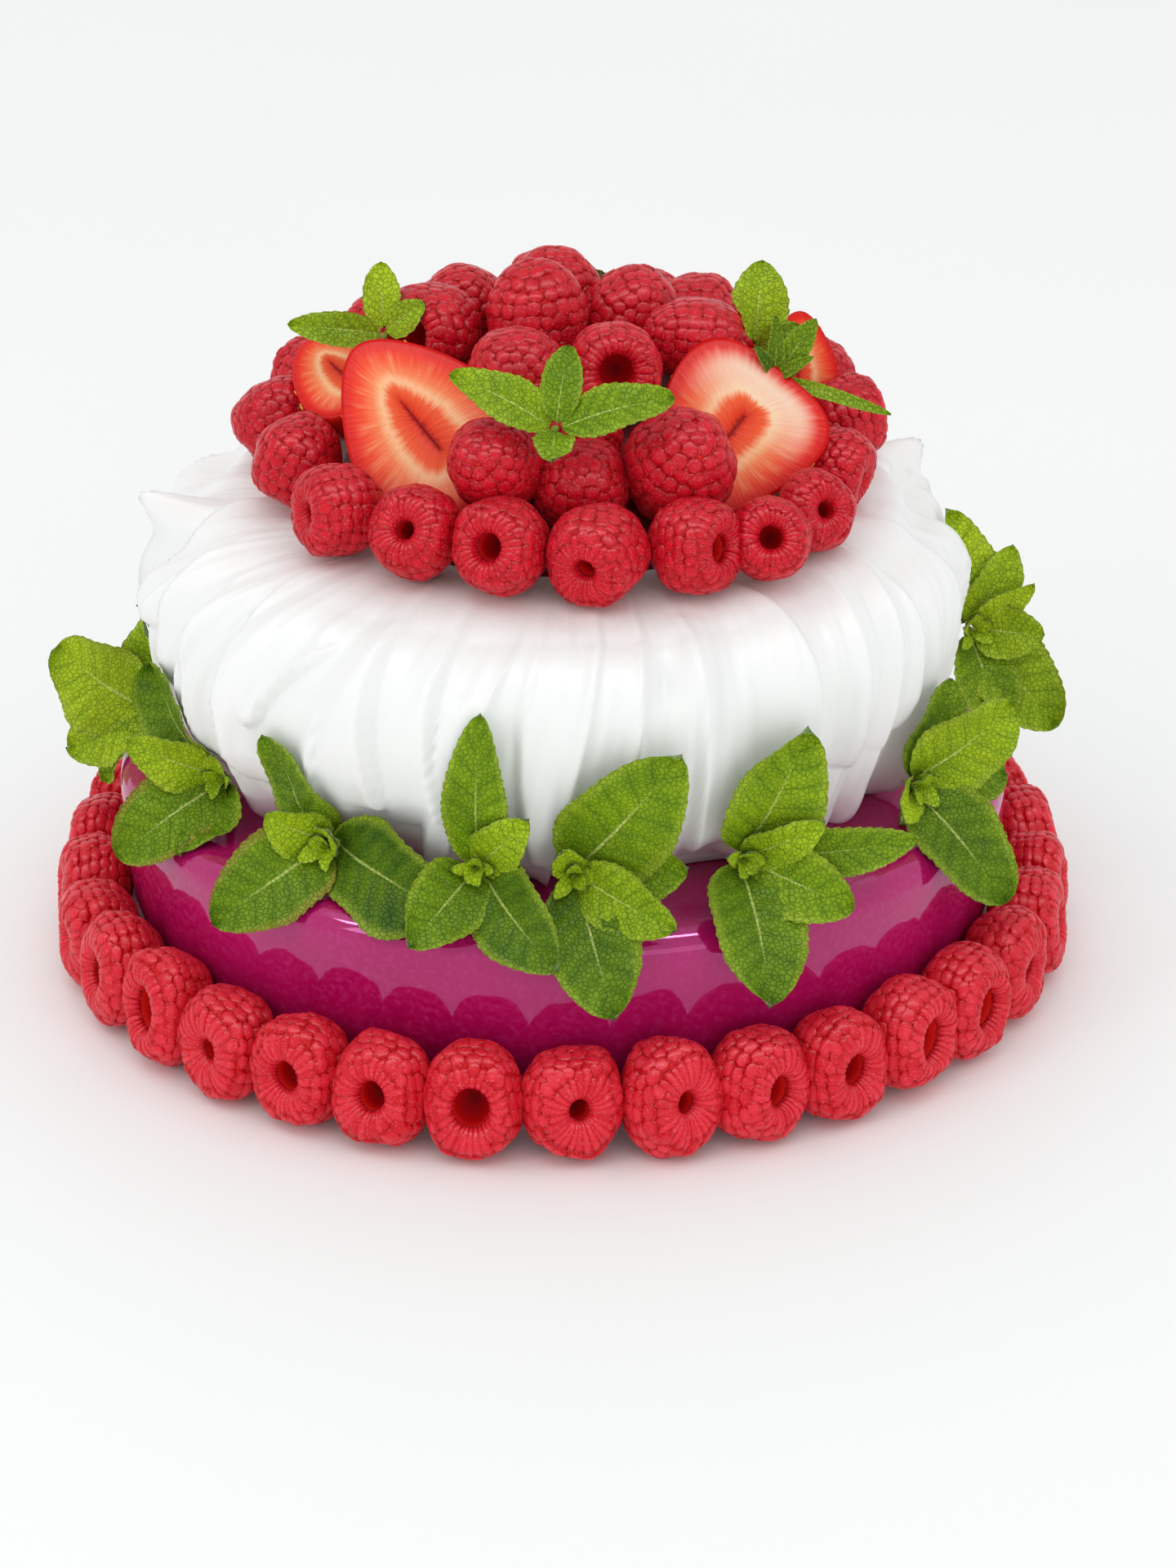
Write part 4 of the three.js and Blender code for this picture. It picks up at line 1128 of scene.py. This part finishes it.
def heap_core_shell():
    """Dark red core under the heap's berries, a painted shade for the gaps between them, low enough
    to stay out of sight.
    """
    outline = [(0, 110.6), (51, 110.6), (50, 114), (42, 122), (27, 132), (0, 138)]
    shell = revolved(outline, 40)
    shell.points[:, 2] += LID_SLOPE * shell.points[:, 1]
    return shell


# ---------------------------------------------------------------- strawberries

# Halved strawberries: middle of the cut face, azimuth and tilt that it faces, turn of the tip,
# length, width and depth, and how white the flesh is at the stem end.
Strawberry = namedtuple("Strawberry", "at azimuth tilt tip_turn length width depth white")
STRAWBERRIES = {
    "strawberry_half_left": Strawberry((-31.5, -27, 134), -12, 36, 45, 46, 38, 14, 0.15),
    "strawberry_half_right": Strawberry((35.6, -25.5, 129.3), 10, 36, 137, 42, 37, 14, 1.0),
    "strawberry_half_back_left": Strawberry((-50.5, 4, 135.7), -30, 66, 60, 30, 25, 13, 0.1),
    "strawberry_half_back_right": Strawberry((54, 15, 132.6), 20, 25, -12, 26, 22, 9, 0.0),
}
CUT_ROWS = 46
CUT_RINGS = 20
SKIN_RINGS = 12
SKIN_SINKS = 0.25
SEED_ROWS = range(1, 10)
SEED_PITCH = 4.2
SEED_SIZE = 1.15

# Sepals of the right one: turn from its stem end, length, width and rise of the tip.
SEPALS = [(69, 27, 3.4, 1), (-3, 14, 7, 8), (-43, 12, 4, 8), (30, 8, 3, 7), (-80, 8, 3, 5)]


def strawberry_width(share):
    """Half width along a strawberry, from its stem end (0) to its tip (1), as a share."""
    return np.sqrt(np.sin(np.pi * np.clip(share, 0, 1) ** 0.5445).clip(0)) * (1 - 0.1 * share**6)


def strawberry_frame(fruit):
    """Where the cut face looks, where its tip points, and what lies across them."""
    turn = facing(fruit.azimuth, fruit.tilt)
    lean = math.radians(fruit.tip_turn)
    tip = turn @ np.array([-math.sin(lean), math.cos(lean), 0])
    return turn[:, 2], tip, np.cross(turn[:, 2], tip)


def strawberry_shell(name):
    """Cut face of rings from a heart to the rim, and a round skin behind it.

    It marks for its flesh the direction from the heart and the share of the way to the rim,
    and for its parts where it is skin, how white its stem end is, and what is a seed.
    """
    fruit = STRAWBERRIES[name]
    normal, tip, across = strawberry_frame(fruit)
    shares = (1 - np.cos(np.linspace(0, math.pi, CUT_ROWS))) / 2
    half = fruit.width / 2 * strawberry_width(shares)
    wobble = 1 + 0.02 * np.sin(7 * shares + draw(len(name)) * 6)
    right = np.stack([(shares - 0.5) * fruit.length, half * wobble], axis=1)
    left = np.stack([(shares - 0.5) * fruit.length, -half], axis=1)[-2:0:-1]
    rim = np.vstack([right, left])
    heart = rim * (0.3, 0.015) - (0.02 * fruit.length, 0)
    angles = np.arctan2(rim[:, 1] / fruit.width, rim[:, 0] / fruit.length)
    none = np.zeros(len(rim))
    rings, ray, part = [], [], []

    def add_ring(flat, deep, out, skin, white):
        rings.append(np.column_stack([flat, none + deep]))
        ray.append(np.column_stack([np.cos(angles), np.sin(angles), none + out]))
        part.append(np.column_stack([none + skin, none + white, none]))

    for out in np.arange(CUT_RINGS + 1) / CUT_RINGS:
        flat = mix(heart, rim, out)
        dip = 0.3 * bell(out, 0.08) + 0.25 * out**8
        stem = np.clip(1 - (flat[:, 0] / fruit.length + 0.5) / 0.42, 0, 1)
        add_ring(flat, -dip, out, 0, fruit.white * stem)
    behind = fruit.depth * np.concatenate([half, half[-2:0:-1]]) / (fruit.width / 2)
    for ring in range(1, SKIN_RINGS + 1):
        turn = 0.5 * math.pi * ring / SKIN_RINGS
        flat = rim * (1, math.cos(turn))
        add_ring(flat, -behind * math.sin(turn) - SKIN_SINKS, 1, 1, 0)
    faces = skin_faces(len(rings), len(rim))
    faces += heart_faces(len(rim), 0, True)
    faces += heart_faces(len(rim), (len(rings) - 1) * len(rim), False)
    flat = np.vstack(rings)
    world = np.array(fruit.at) + flat[:, :1] * tip + flat[:, 1:2] * across + flat[:, 2:] * normal
    return Shell(world, faces, ray=np.vstack(ray), part=np.vstack(part)).outward()


def heart_faces(count, first, flip):
    """Closes a flat ring, whose two sides face each other, with a strip between them."""
    faces = []
    for step in range(count // 2):
        corners = (step, step + 1, (count - step - 1) % count, (count - step) % count)
        face = tuple(first + corner for corner in dict.fromkeys(corners))
        faces.append(face[::-1] if flip else face)
    return faces


def seed_shell():
    """A strawberry seed, pointed at one end."""
    outline = [(0, -0.55), (0.42, -0.3), (0.5, 0.05), (0.3, 0.6), (0, 0.8)]
    seed = revolved(outline, 6)
    seed.points = seed.points[:, [0, 2, 1]] * (1, 1, 0.5)
    seed.values["part"] = np.tile([1.0, 0.0, 1.0], (len(seed.points), 1))
    return seed.outward()


def strawberry_seeds(name, finish):
    """Seeds in staggered rows over the skin of a halved strawberry."""
    fruit = STRAWBERRIES[name]
    normal, tip, across = strawberry_frame(fruit)
    spots, lies = [], []
    for row in SEED_ROWS:
        share = row / 10.5
        wide = strawberry_width(share)
        steps = max(2, round(math.pi * wide * fruit.width / 2 / SEED_PITCH))
        for step in range(steps):
            angle = math.pi * (step + 0.35 + 0.4 * (row % 2)) / steps
            if not 0.08 < angle < math.pi - 0.08:
                continue
            c, s = math.cos(angle), math.sin(angle)
            spot = (share - 0.5) * fruit.length * tip + wide * fruit.width / 2 * c * across
            spot = spot - wide * fruit.depth * s * normal - SKIN_SINKS * normal
            spots.append(np.array(fruit.at) + spot)
            out = unit(c * fruit.depth * across - s * fruit.width / 2 * normal)
            lies.append(axes_by(unit(np.cross(tip, out)), out))
    count = len(spots)
    points = {
        "at": np.array(spots), "lie": quaternions(lies), "size": np.full((count, 3), SEED_SIZE),
        "half": np.full((count, 3), MM), "middle": np.zeros((count, 3)),
        "turn": np.tile([1.0, 0, 0, 0], (count, 1)), "give": np.ones(count),
        "shape": np.zeros(count), "tone": np.zeros(count),
    }
    return grow(
        name + "_seeds", points, [seed_shell()], finish, Seed=7, Unevenness=0.12, Squareness=2.0,
        Lumpiness=0.0,
    )


# ---------------------------------------------------------------- mint

LEAF_THICKNESS = 0.45
LEAF_COLUMNS = 15
LEAF_STALK = 1.3
TOOTH_LENGTH = 2.3
STEM_RADIUS = 1.1
BUD_LEAVES = 5
BROWNING = 0.45
GAP = 1.2  # between a leaf and the meringue or mousse that it lies on
BERRY_GAP = 1.0
OUTSIDE = 160

# A leaf eases off what it lies on in rounds, over a reach along and across the leaf.
EASING_ROUNDS = 7
EASING_STEP = 1.3
EASING_REACH = (6, 5)


def clear_of(tree, gap):
    """A rule that tells how a point must move to keep a gap to a round, smooth shell."""
    def push(point):
        spot, normal, _, _ = tree.find_nearest(Vector(point))
        off = (Vector(point) - spot).dot(normal)
        return np.array(normal * (gap - off)) if off < gap else np.zeros(3)

    return push


def clear_outwards(tree, gap):
    """A rule that tells how a point must move away from the cake's middle to keep the gap."""
    def push(point):
        out = unit(np.array([point[0], point[1], 0]))
        start = out * OUTSIDE + (0, 0, point[2])
        spot, *_ = tree.ray_cast(Vector(start), Vector(-out), OUTSIDE - 1)
        if spot is None:
            return np.zeros(3)
        return out * max(0, np.hypot(spot[0], spot[1]) + gap - np.hypot(point[0], point[1]))

    return push


def clear_of_berries(berries):
    """A rule that tells how a point must move to stay outside the berries."""
    def push(point):
        moved = point
        for berry in berries:
            off = moved - berry.at
            reach = max(berry.half) + BERRY_GAP
            if np.linalg.norm(off) < reach:
                moved = berry.at + unit(off) * reach
        return moved - point

    return push


def averaged(grid, axis, reach):
    """The grid, each place of it averaged along one axis with its neighbours in a reach."""
    edges = [(reach, reach) if i == axis else (0, 0) for i in range(grid.ndim)]
    padded = np.pad(grid, edges, "edge")
    count = grid.shape[axis]
    shifted = [np.take(padded, range(i, i + count), axis) for i in range(2 * reach + 1)]
    return np.stack(shifted).mean(axis=0)


def eased(points, pushes, rows):
    """Moves a leaf's points as rules ask, but evenly, so that the leaf keeps its surface."""
    for rule in pushes:
        for _ in range(EASING_ROUNDS):
            push = np.array([rule(point) for point in points]).reshape(rows, -1, 3)
            if not push.any():
                break
            for axis, reach in enumerate(EASING_REACH):
                push = averaged(push, axis, reach)
            points = points + EASING_STEP * push.reshape(-1, 3)
    return points


def leaf_widths(u, v, width, teeth):
    """Half widths of a leaf with teeth, and its plain outline as a share of its width."""
    plain = np.sin(np.pi * u**0.78).clip(0) ** 0.54
    tooth = (u * teeth) % 1 - 0.45
    half = width / 2 * plain + 0.5 * tooth * np.abs(v) ** 6 * plain**0.5 * min(1, width / 12)
    return np.maximum(half, mix(0.5, 0.05, u)), plain


def leaf_lift(u, v, plain, width, bow, tone, veined):
    """How far a leaf folds at its midrib, ripples, bows, and swells between its side veins."""
    fold = width * (0.11 * np.abs(v) ** 1.3 - 0.06)
    ripple = 0.06 * width * np.abs(v) ** 2 * np.sin(2 * np.pi * (1.6 * u + tone * 3) + v)
    climb = (u - VEIN_SLANT * np.abs(v)) * SIDE_VEINS + VEIN_SHIFT * (v > 0)
    climb += 0.12 * np.sin(9 * u + 6 * v + 30 * tone)
    quilt = (np.abs(np.sin(np.pi * climb)) ** 0.6 - 0.5) * np.sin(np.pi * np.abs(v)) ** 0.6
    rib = -0.25 * bell(v, 0.1)
    return fold + ripple + bow * 4 * u * (1 - u) + (0.036 * width * quilt + rib) * plain * veined


def thickened_faces(rows, columns):
    """Faces of a closed sheet: a grid of points, the same grid below it, and the rim between."""
    grid = np.arange(rows * columns).reshape(rows, columns)
    top = skin_faces(rows, columns, closed=False)
    faces = top + [tuple(i + grid.size for i in face[::-1]) for face in top]
    rim = [*grid[:, 0], *grid[-1, 1:], *grid[-2::-1, -1], *grid[0, -2:0:-1]]
    for a, b in zip(rim, rim[1:] + rim[:1]):
        faces.append((b, a, a + grid.size, b + grid.size))
    return faces


def leaf_shell(base, end, width, face, bow, pushes, tone, brown=0.0, veined=True):
    """A thin leaf between two points, with toothed rims and quilting between its side veins.

    It marks how far along and across the leaf each point lies, how light its green is, which
    side is the underside, and how brown its rim is.
    """
    base, end, face = (np.asarray(vector, float) for vector in (base, end, face))
    along = end - base
    length = np.linalg.norm(along)
    across = unit(np.cross(face, along))
    normal = unit(np.cross(along, across))
    teeth = max(4, round(length / TOOTH_LENGTH))
    rows = 4 * teeth + 1
    u, v = np.meshgrid(np.linspace(0, 1, rows), np.linspace(-1, 1, LEAF_COLUMNS), indexing="ij")
    half, plain = leaf_widths(u, v, width, teeth)
    shear = 0.03 * length * math.sin(tone * 40) * v**2
    lift = leaf_lift(u, v, plain, width, bow, tone, veined)
    middle = (
        base + u[..., None] * along + (v * half)[..., None] * across
        + (shear * plain)[..., None] * unit(along) + lift[..., None] * normal
    ).reshape(-1, 3)
    middle = eased(middle, pushes, rows)
    thick = (LEAF_THICKNESS / 2 * (1 - 0.6 * np.abs(v) ** 4)).reshape(-1, 1)
    points = np.vstack([middle + thick * normal, middle - thick * normal])
    marks = np.column_stack([u.ravel(), v.ravel(), np.full(u.size, tone)])
    side = np.repeat([(0, 0, brown), (1, 0, brown)], u.size, axis=0)
    faces = thickened_faces(rows, LEAF_COLUMNS)
    return Shell(points, faces, leaf=np.vstack([marks, marks]), side=side).outward()


def stem_shell(start, end):
    """A round stem that thins towards its end and sways a little on its way."""
    run = unit(end - start)
    side = unit(np.cross(run, (0.31, 0.87, 0.2)))
    up = np.cross(run, side)
    steps, sides = 6, 8
    points = []
    for share in np.linspace(0, 1, steps):
        hub = mix(start, end, share) + 0.35 * math.sin(3 * share) * side
        radius = STEM_RADIUS * mix(1.15, 0.8, share)
        for number in range(sides):
            angle = 2 * math.pi * number / sides
            points.append(hub + radius * (math.cos(angle) * side + math.sin(angle) * up))
    marks = np.tile([0.0, 1.0, 0.0], (len(points) + 2, 1))
    rings = np.reshape(points, (steps, sides, 3))
    return closed_skin(rings, [start - run * 0.3, end + run * 0.5], side=marks)


def young_leaves(seed):
    """The bud in the middle of a sprig: small leaves that stand nearly upright."""
    return [
        (
            72 * number + spread(key, -15, 15), spread(key + 9, 42, 68), spread(key + 18, 6, 9),
            spread(key + 27, 3.2, 4.6), spread(key + 36, 0.75, 1),
        )
        for number, key in enumerate(range(seed * 53, seed * 53 + BUD_LEAVES))
    ]


def sprig_shell(foot, head, azimuth, tilt, leaves, settle, seed, brown=(), bud=True):
    """A sprig: a stem, leaves fanned round its head, and a bud of young leaves in the middle.

    A leaf is its turn in degrees clockwise from up, as seen from where the sprig faces, its
    lean towards there, its length, its width and how light its green is.
    """
    turn = facing(azimuth, tilt)
    face = turn[:, 2]
    shells = [stem_shell(foot, head + 0.6 * face)]
    young = young_leaves(seed) if bud else []
    for number, (clock, lean, length, width, tone) in enumerate([*leaves, *young]):
        grown_up = number < len(leaves)
        clock, lean = math.radians(clock), math.radians(lean)
        flat = length * math.cos(lean)
        reach = turn @ np.array([
            flat * math.sin(clock), flat * math.cos(clock), length * math.sin(lean),
        ])
        shells.append(leaf_shell(
            head + reach * LEAF_STALK / length, head + reach, width, face, length * 0.1,
            settle if grown_up else (), tone, (number in brown) * BROWNING, grown_up,
        ))
    return gathered(shells)


# Leaves of the sprigs: turn, lean, length, width and how light their green is.
FAR_LEFT = [
    (-62, 22, 28, 25, 0.8), (2, 0, 27, 18, 0.75), (-121, 15, 24, 17, 0.85),
    (-152, 10, 21, 12, 0.6), (36, 30, 15, 11, 0.85),
]
LEFT = [
    (-44, 5, 31, 22, 0.2), (-66, 40, 24, 13, 0.8), (-140, 35, 30, 20, 0.35),
    (174, 30, 21, 16, 0.3), (10, 50, 11, 7, 0.85),
]
FRONT_LEFT = [
    (-26, 5, 27, 15, 0.25), (-135, 35, 31, 21, 0.3), (104, 13, 35, 25, 0.05),
    (-58, 45, 17, 13, 0.75), (40, 55, 12, 8, 0.9),
]
FRONT_UPRIGHT = [
    (3, 20, 38, 14, 0.4), (42, 30, 21, 12, 0.75), (-142, 46, 25, 17, 0.3), (129, 32, 31, 19, 0.1),
]
FRONT = [
    (38, 22, 38, 24, 0.42), (164, 36, 34, 21, 0.2), (112, 38, 28, 14, 0.65),
    (84, 18, 25, 15, 0.5), (-20, 50, 12, 8, 0.8),
]
FRONT_RIGHT = [
    (23, 22, 34, 21, 0.55), (184, 36, 34, 22, 0.25), (118, 35, 27, 16, 0.5),
    (58, 40, 22, 10, 0.75), (88, 16, 38, 12, 0.4),
]
RIGHT = [
    (54, 25, 29, 20, 0.7), (158, 30, 34, 20, 0.2), (30, 5, 25, 14, 0.4),
    (98, 0, 27, 14, 0.35), (-120, 40, 14, 9, 0.9),
]
FAR_RIGHT = [
    (-8, 0, 29, 18, 0.9), (52, 30, 19, 8, 0.9), (98, 35, 18, 13, 0.7), (144, 12, 32, 20, 0.55),
    (172, 15, 28, 16, 0.4), (30, 10, 22, 13, 0.75),
]
BACK = [
    (-38, 15, 32, 20, 0.7), (37, 22, 30, 18, 0.3), (-128, 36, 28, 18, 0.5), (146, 36, 30, 20, 0.8),
]

# Sprigs round the foot of the meringue: azimuth, radius and height of the head, where it
# faces, its leaves, and the leaves whose rims have browned.
BASE_SPRIGS = [
    (-88, 95.5, 53.5, -38, FAR_LEFT, ()), (-59, 87, 57, -30, LEFT, (2,)),
    (-33.5, 90, 56, -24, FRONT_LEFT, (1,)), (-11.5, 90, 56.5, -10, FRONT_UPRIGHT, ()),
    (1.5, 90, 56, 2, FRONT, ()), (24.5, 91, 56, 18, FRONT_RIGHT, ()),
    (57.5, 91, 57.5, 32, RIGHT, ()), (95, 95.5, 71, 20, FAR_RIGHT, ()),
    (128, 90, 56, 128, BACK, ()), (154, 90, 56, 150, FRONT_UPRIGHT, ()),
    (180, 90, 56.5, 180, BACK, ()), (207, 90, 56, 211, LEFT, ()), (234, 90, 56, 234, BACK, ()),
]
BASE_SPRIG_TILT = 12

# Sprigs among the fruit on top: head, azimuth and tilt that it faces, and its leaves.
TOP_SPRIGS = {
    "top_mint_front": ((-1.5, -51, 141), 0, 45, [
        (-66, 12, 25, 11, 0.6), (9, 15, 18, 9, 0.35), (80, 12, 26, 11, 0.5), (185, 25, 11, 9, 0.5),
    ]),
    "top_mint_left": ((-39.5, 1, 145), -10, 20, [
        (-7, 0, 16, 9, 0.95), (52, 14, 12, 8, 0.7), (-88, 10, 22, 8, 0.6),
    ]),
    "top_mint_right": ((42.3, -3, 142.6), 5, 20, [
        (8, 0, 20, 14, 0.75), (62, 20, 12, 6, 0.4),
    ]),
    "top_mint_back": ((0.5, 69, 136), 180, 30, [
        (-128, 12, 20, 12, 0.4), (122, 12, 21, 12, 0.7), (178, 30, 15, 10, 0.9),
    ]),
}
TOP_STEM = 3


def base_sprig_shell(number, settle):
    """A sprig on the glaze, its foot nearly under its head."""
    azimuth, radius, height, faces, leaves, brown = BASE_SPRIGS[number]
    foot = around(azimuth, radius - 1, MERINGUE_FOOT)
    head = around(azimuth, radius, height)
    return sprig_shell(foot, head, faces, BASE_SPRIG_TILT, leaves, settle, number, brown)


def top_sprig_shell(name, settle, seed):
    """A sprig in the heap, on a short stem."""
    head, azimuth, tilt, leaves = TOP_SPRIGS[name]
    foot = np.array(head) - (0, 0, TOP_STEM)
    return sprig_shell(foot, np.array(head), azimuth, tilt, leaves, settle, seed, bud=False)


def calyx_shell(settle):
    """Sepals at the stem end of the strawberry on the right."""
    fruit = STRAWBERRIES["strawberry_half_right"]
    normal, tip, across = strawberry_frame(fruit)
    base = np.array(fruit.at) - tip * fruit.length * 0.46 - normal * 2.5
    shells = []
    for number, (turn, reach, width, lift) in enumerate(SEPALS):
        turn = math.radians(turn)
        end = base - tip * reach * math.cos(turn) + across * reach * math.sin(turn) + normal * lift
        tone = spread(number + 15, 0.1, 0.6)
        shells.append(leaf_shell(base, end, width, normal, 1, settle, tone, veined=False))
    return gathered(shells)


# ---------------------------------------------------------------- studio

CAMERA_PLACE = (0, -0.7495, 0.3865)
CAMERA_TARGET = (0, 0, 0.03435)
CAMERA_PAN = 0.417  # degrees to the right of the target
CAMERA_LENS = 80.34
LIGHT_TARGET = (0, 0, 0.08)
ROOM_LIGHT = 0.9
FLOOR_REACH = 4000


def build_camera():
    camera = place_in_scene("camera", bpy.data.cameras.new("camera"))
    camera.data.lens = CAMERA_LENS
    camera.data.sensor_width = 36
    camera.location = CAMERA_PLACE
    aim = (Vector(CAMERA_TARGET) - Vector(CAMERA_PLACE)).to_track_quat("-Z", "Y")
    pan = Quaternion((0, 1, 0), -math.radians(CAMERA_PAN))
    camera.rotation_euler = (aim @ pan).to_euler()
    bpy.context.scene.camera = camera


def build_light(name, place, size, power, shine_only=False):
    """A soft box that looks at the middle of the cake, or one that only mirrors in what is wet."""
    lamp = bpy.data.lights.new(name, "AREA")
    lamp.shape = "RECTANGLE"
    lamp.size, lamp.size_y = size
    lamp.energy = power
    light = place_in_scene(name, lamp)
    light.location = place
    light.visible_diffuse = not shine_only
    light.visible_camera = False
    aim = Vector(LIGHT_TARGET) - Vector(place)
    light.rotation_euler = aim.to_track_quat("-Z", "Y").to_euler()


def floor_finish():
    """Pale to the horizon with the faintest clouds, and under the cake a cooler pale, painted to
    cancel the pink light that the berries throw on the floor.
    """
    floor = Finish("pale_floor", Roughness=0.6)
    place = floor.place()
    far = floor.ramp(
        floor.noise(place, 3.0, 2.0), (0.3, (0.955, 0.965, 0.965, 1)), (0.7, (0.97, 0.98, 0.98, 1)),
    )
    # Near the cake the floor turns less red and more cyan: a painted tint against the pink light
    # bounced from the berries.
    away = floor.between(floor.length(place), 0.12, 0.4)
    floor.set("Base Color", floor.mix(away, (0.955, 0.99, 0.99, 1), far))
    return floor.material


def build_studio():
    """A pale floor without an end, a bright room round it, and soft boxes."""
    bpy.context.scene.view_settings.view_transform = "Standard"
    world = bpy.data.worlds.new("pale_room")
    world.use_nodes = True
    sky = world.node_tree.nodes["Background"].inputs
    sky["Color"].default_value = (1.0, 1.0, 1.0, 1)
    sky["Strength"].default_value = ROOM_LIGHT
    bpy.context.scene.world = world
    build_light("top_box", (-0.3, -0.47, 1.2), (1.4, 0.5), 1.4)
    build_light("shine_strip", (0, -0.47, 1.19), (2.2, 0.18), 18, shine_only=True)
    build_light("key_box", (-1.1, -0.9, 0.85), (0.24, 0.5), 1.3)
    build_light("low_box", (0.5, -1.4, 0.35), (1.2, 0.5), 1.7)
    corners = [(x * FLOOR_REACH, y * FLOOR_REACH, 0) for x, y in ((-1, -1), (1, -1), (1, 1), (-1, 1))]
    plane = Shell(corners, [(0, 1, 2, 3)])
    make_piece("floor", plane, floor_finish(), smooth=False)


# ---------------------------------------------------------------- assembly

RING_SQUARENESS = 2.4
HEAP_SQUARENESS = 2.2


def touch_tree(shell):
    """A tree that finds where points and rays meet a shell."""
    return BVHTree.FromPolygons(shell.points.tolist(), shell.faces)


def build_base():
    """The glazed mousse and the meringue, and the rules by which the sprigs clear them."""
    mousse, meringue = mousse_shell(), meringue_shell()
    dress(make_piece("glazed_mousse", mousse, glaze_finish()), "glaze", "mousse_round")
    dress(make_piece("pleated_meringue", meringue, meringue_finish()), "meringue", "meringue")
    return clear_outwards(touch_tree(meringue), GAP), clear_of(touch_tree(mousse), GAP)


def build_ring(body_finish):
    # Colours of the creases, a painted shade; of the flesh; and of the crests, a painted highlight.
    finish = raspberry_finish(
        "raspberry_ring", tint(190, 0, 16), tint(200, 0, 24), tint(228, 44, 62),
    )
    berries = ring_berries()
    half = RING_COUNT // 2
    for side, chosen in (("right", berries[:half]), ("left", berries[half:])):
        name = "raspberry_ring_" + side
        nodes = [f"ring_raspberry_{berry.seed + 1:02d}" for berry in chosen]
        piece = raspberries(name, chosen, finish, body_finish, RING_SQUARENESS)
        dress(piece, "raspberry", *nodes)


def build_heap(body_finish):
    """The heap of raspberries, and the rules by which leaves clear it."""
    # Colours of the creases, a painted shade; of the flesh; and of the crests, a painted highlight.
    finish = raspberry_finish(
        "raspberry_heap", tint(174, 0, 16), tint(182, 0, 24), tint(212, 16, 38),
    )
    crown, heap = crown_berries(), heap_berries()
    for name, berries in (
        ("raspberry_crown", crown), ("raspberry_top", heap[:len(HEAP)]),
        ("raspberry_middle", heap[len(HEAP):]),
    ):
        piece = raspberries(name, berries, finish, body_finish, HEAP_SQUARENESS)
        dress(piece, "raspberry", "raspberry_heap")
    # A dark maroon core that stands for the shade deep among the heap's berries: painted shade.
    core = Finish("raspberry_core", Roughness=0.5)
    mottle = core.noise(core.place(), 300.0)
    core.set("Base Color", core.ramp(mottle, (0.3, tint(90, 4, 16)), (0.7, tint(130, 8, 24))))
    piece = make_piece("raspberry_core", heap_core_shell(), core.material)
    dress(piece, "raspberry", "raspberry_heap")
    return (clear_of_berries(crown + heap),)


def build_strawberries(mint, settle):
    finish = strawberry_finish()
    for name in STRAWBERRIES:
        dress(make_piece(name + "_cut", strawberry_shell(name), finish), "strawberry", name)
        dress(strawberry_seeds(name, finish), "strawberry", name)
    dress(make_piece("strawberry_calyx", calyx_shell(settle), mint), "mint", "strawberry_half_right")


def build_mint(mint, on_base, on_berries):
    for number in range(len(BASE_SPRIGS)):
        name = f"mint_sprig_{number + 1:02d}"
        shell = base_sprig_shell(number, on_base)
        dress(make_piece(name + "_leaves", shell, mint), "mint", name)
    for seed, name in enumerate(TOP_SPRIGS, start=60):
        shell = top_sprig_shell(name, on_berries, seed)
        dress(make_piece(name + "_leaves", shell, mint), "mint", name)


def build_cake():
    on_base = build_base()
    body_finish = hollow_finish()
    build_ring(body_finish)
    on_berries = build_heap(body_finish)
    mint = mint_finish()
    build_strawberries(mint, on_berries)
    build_mint(mint, on_base, on_berries)


build_studio()
build_camera()
build_cake()
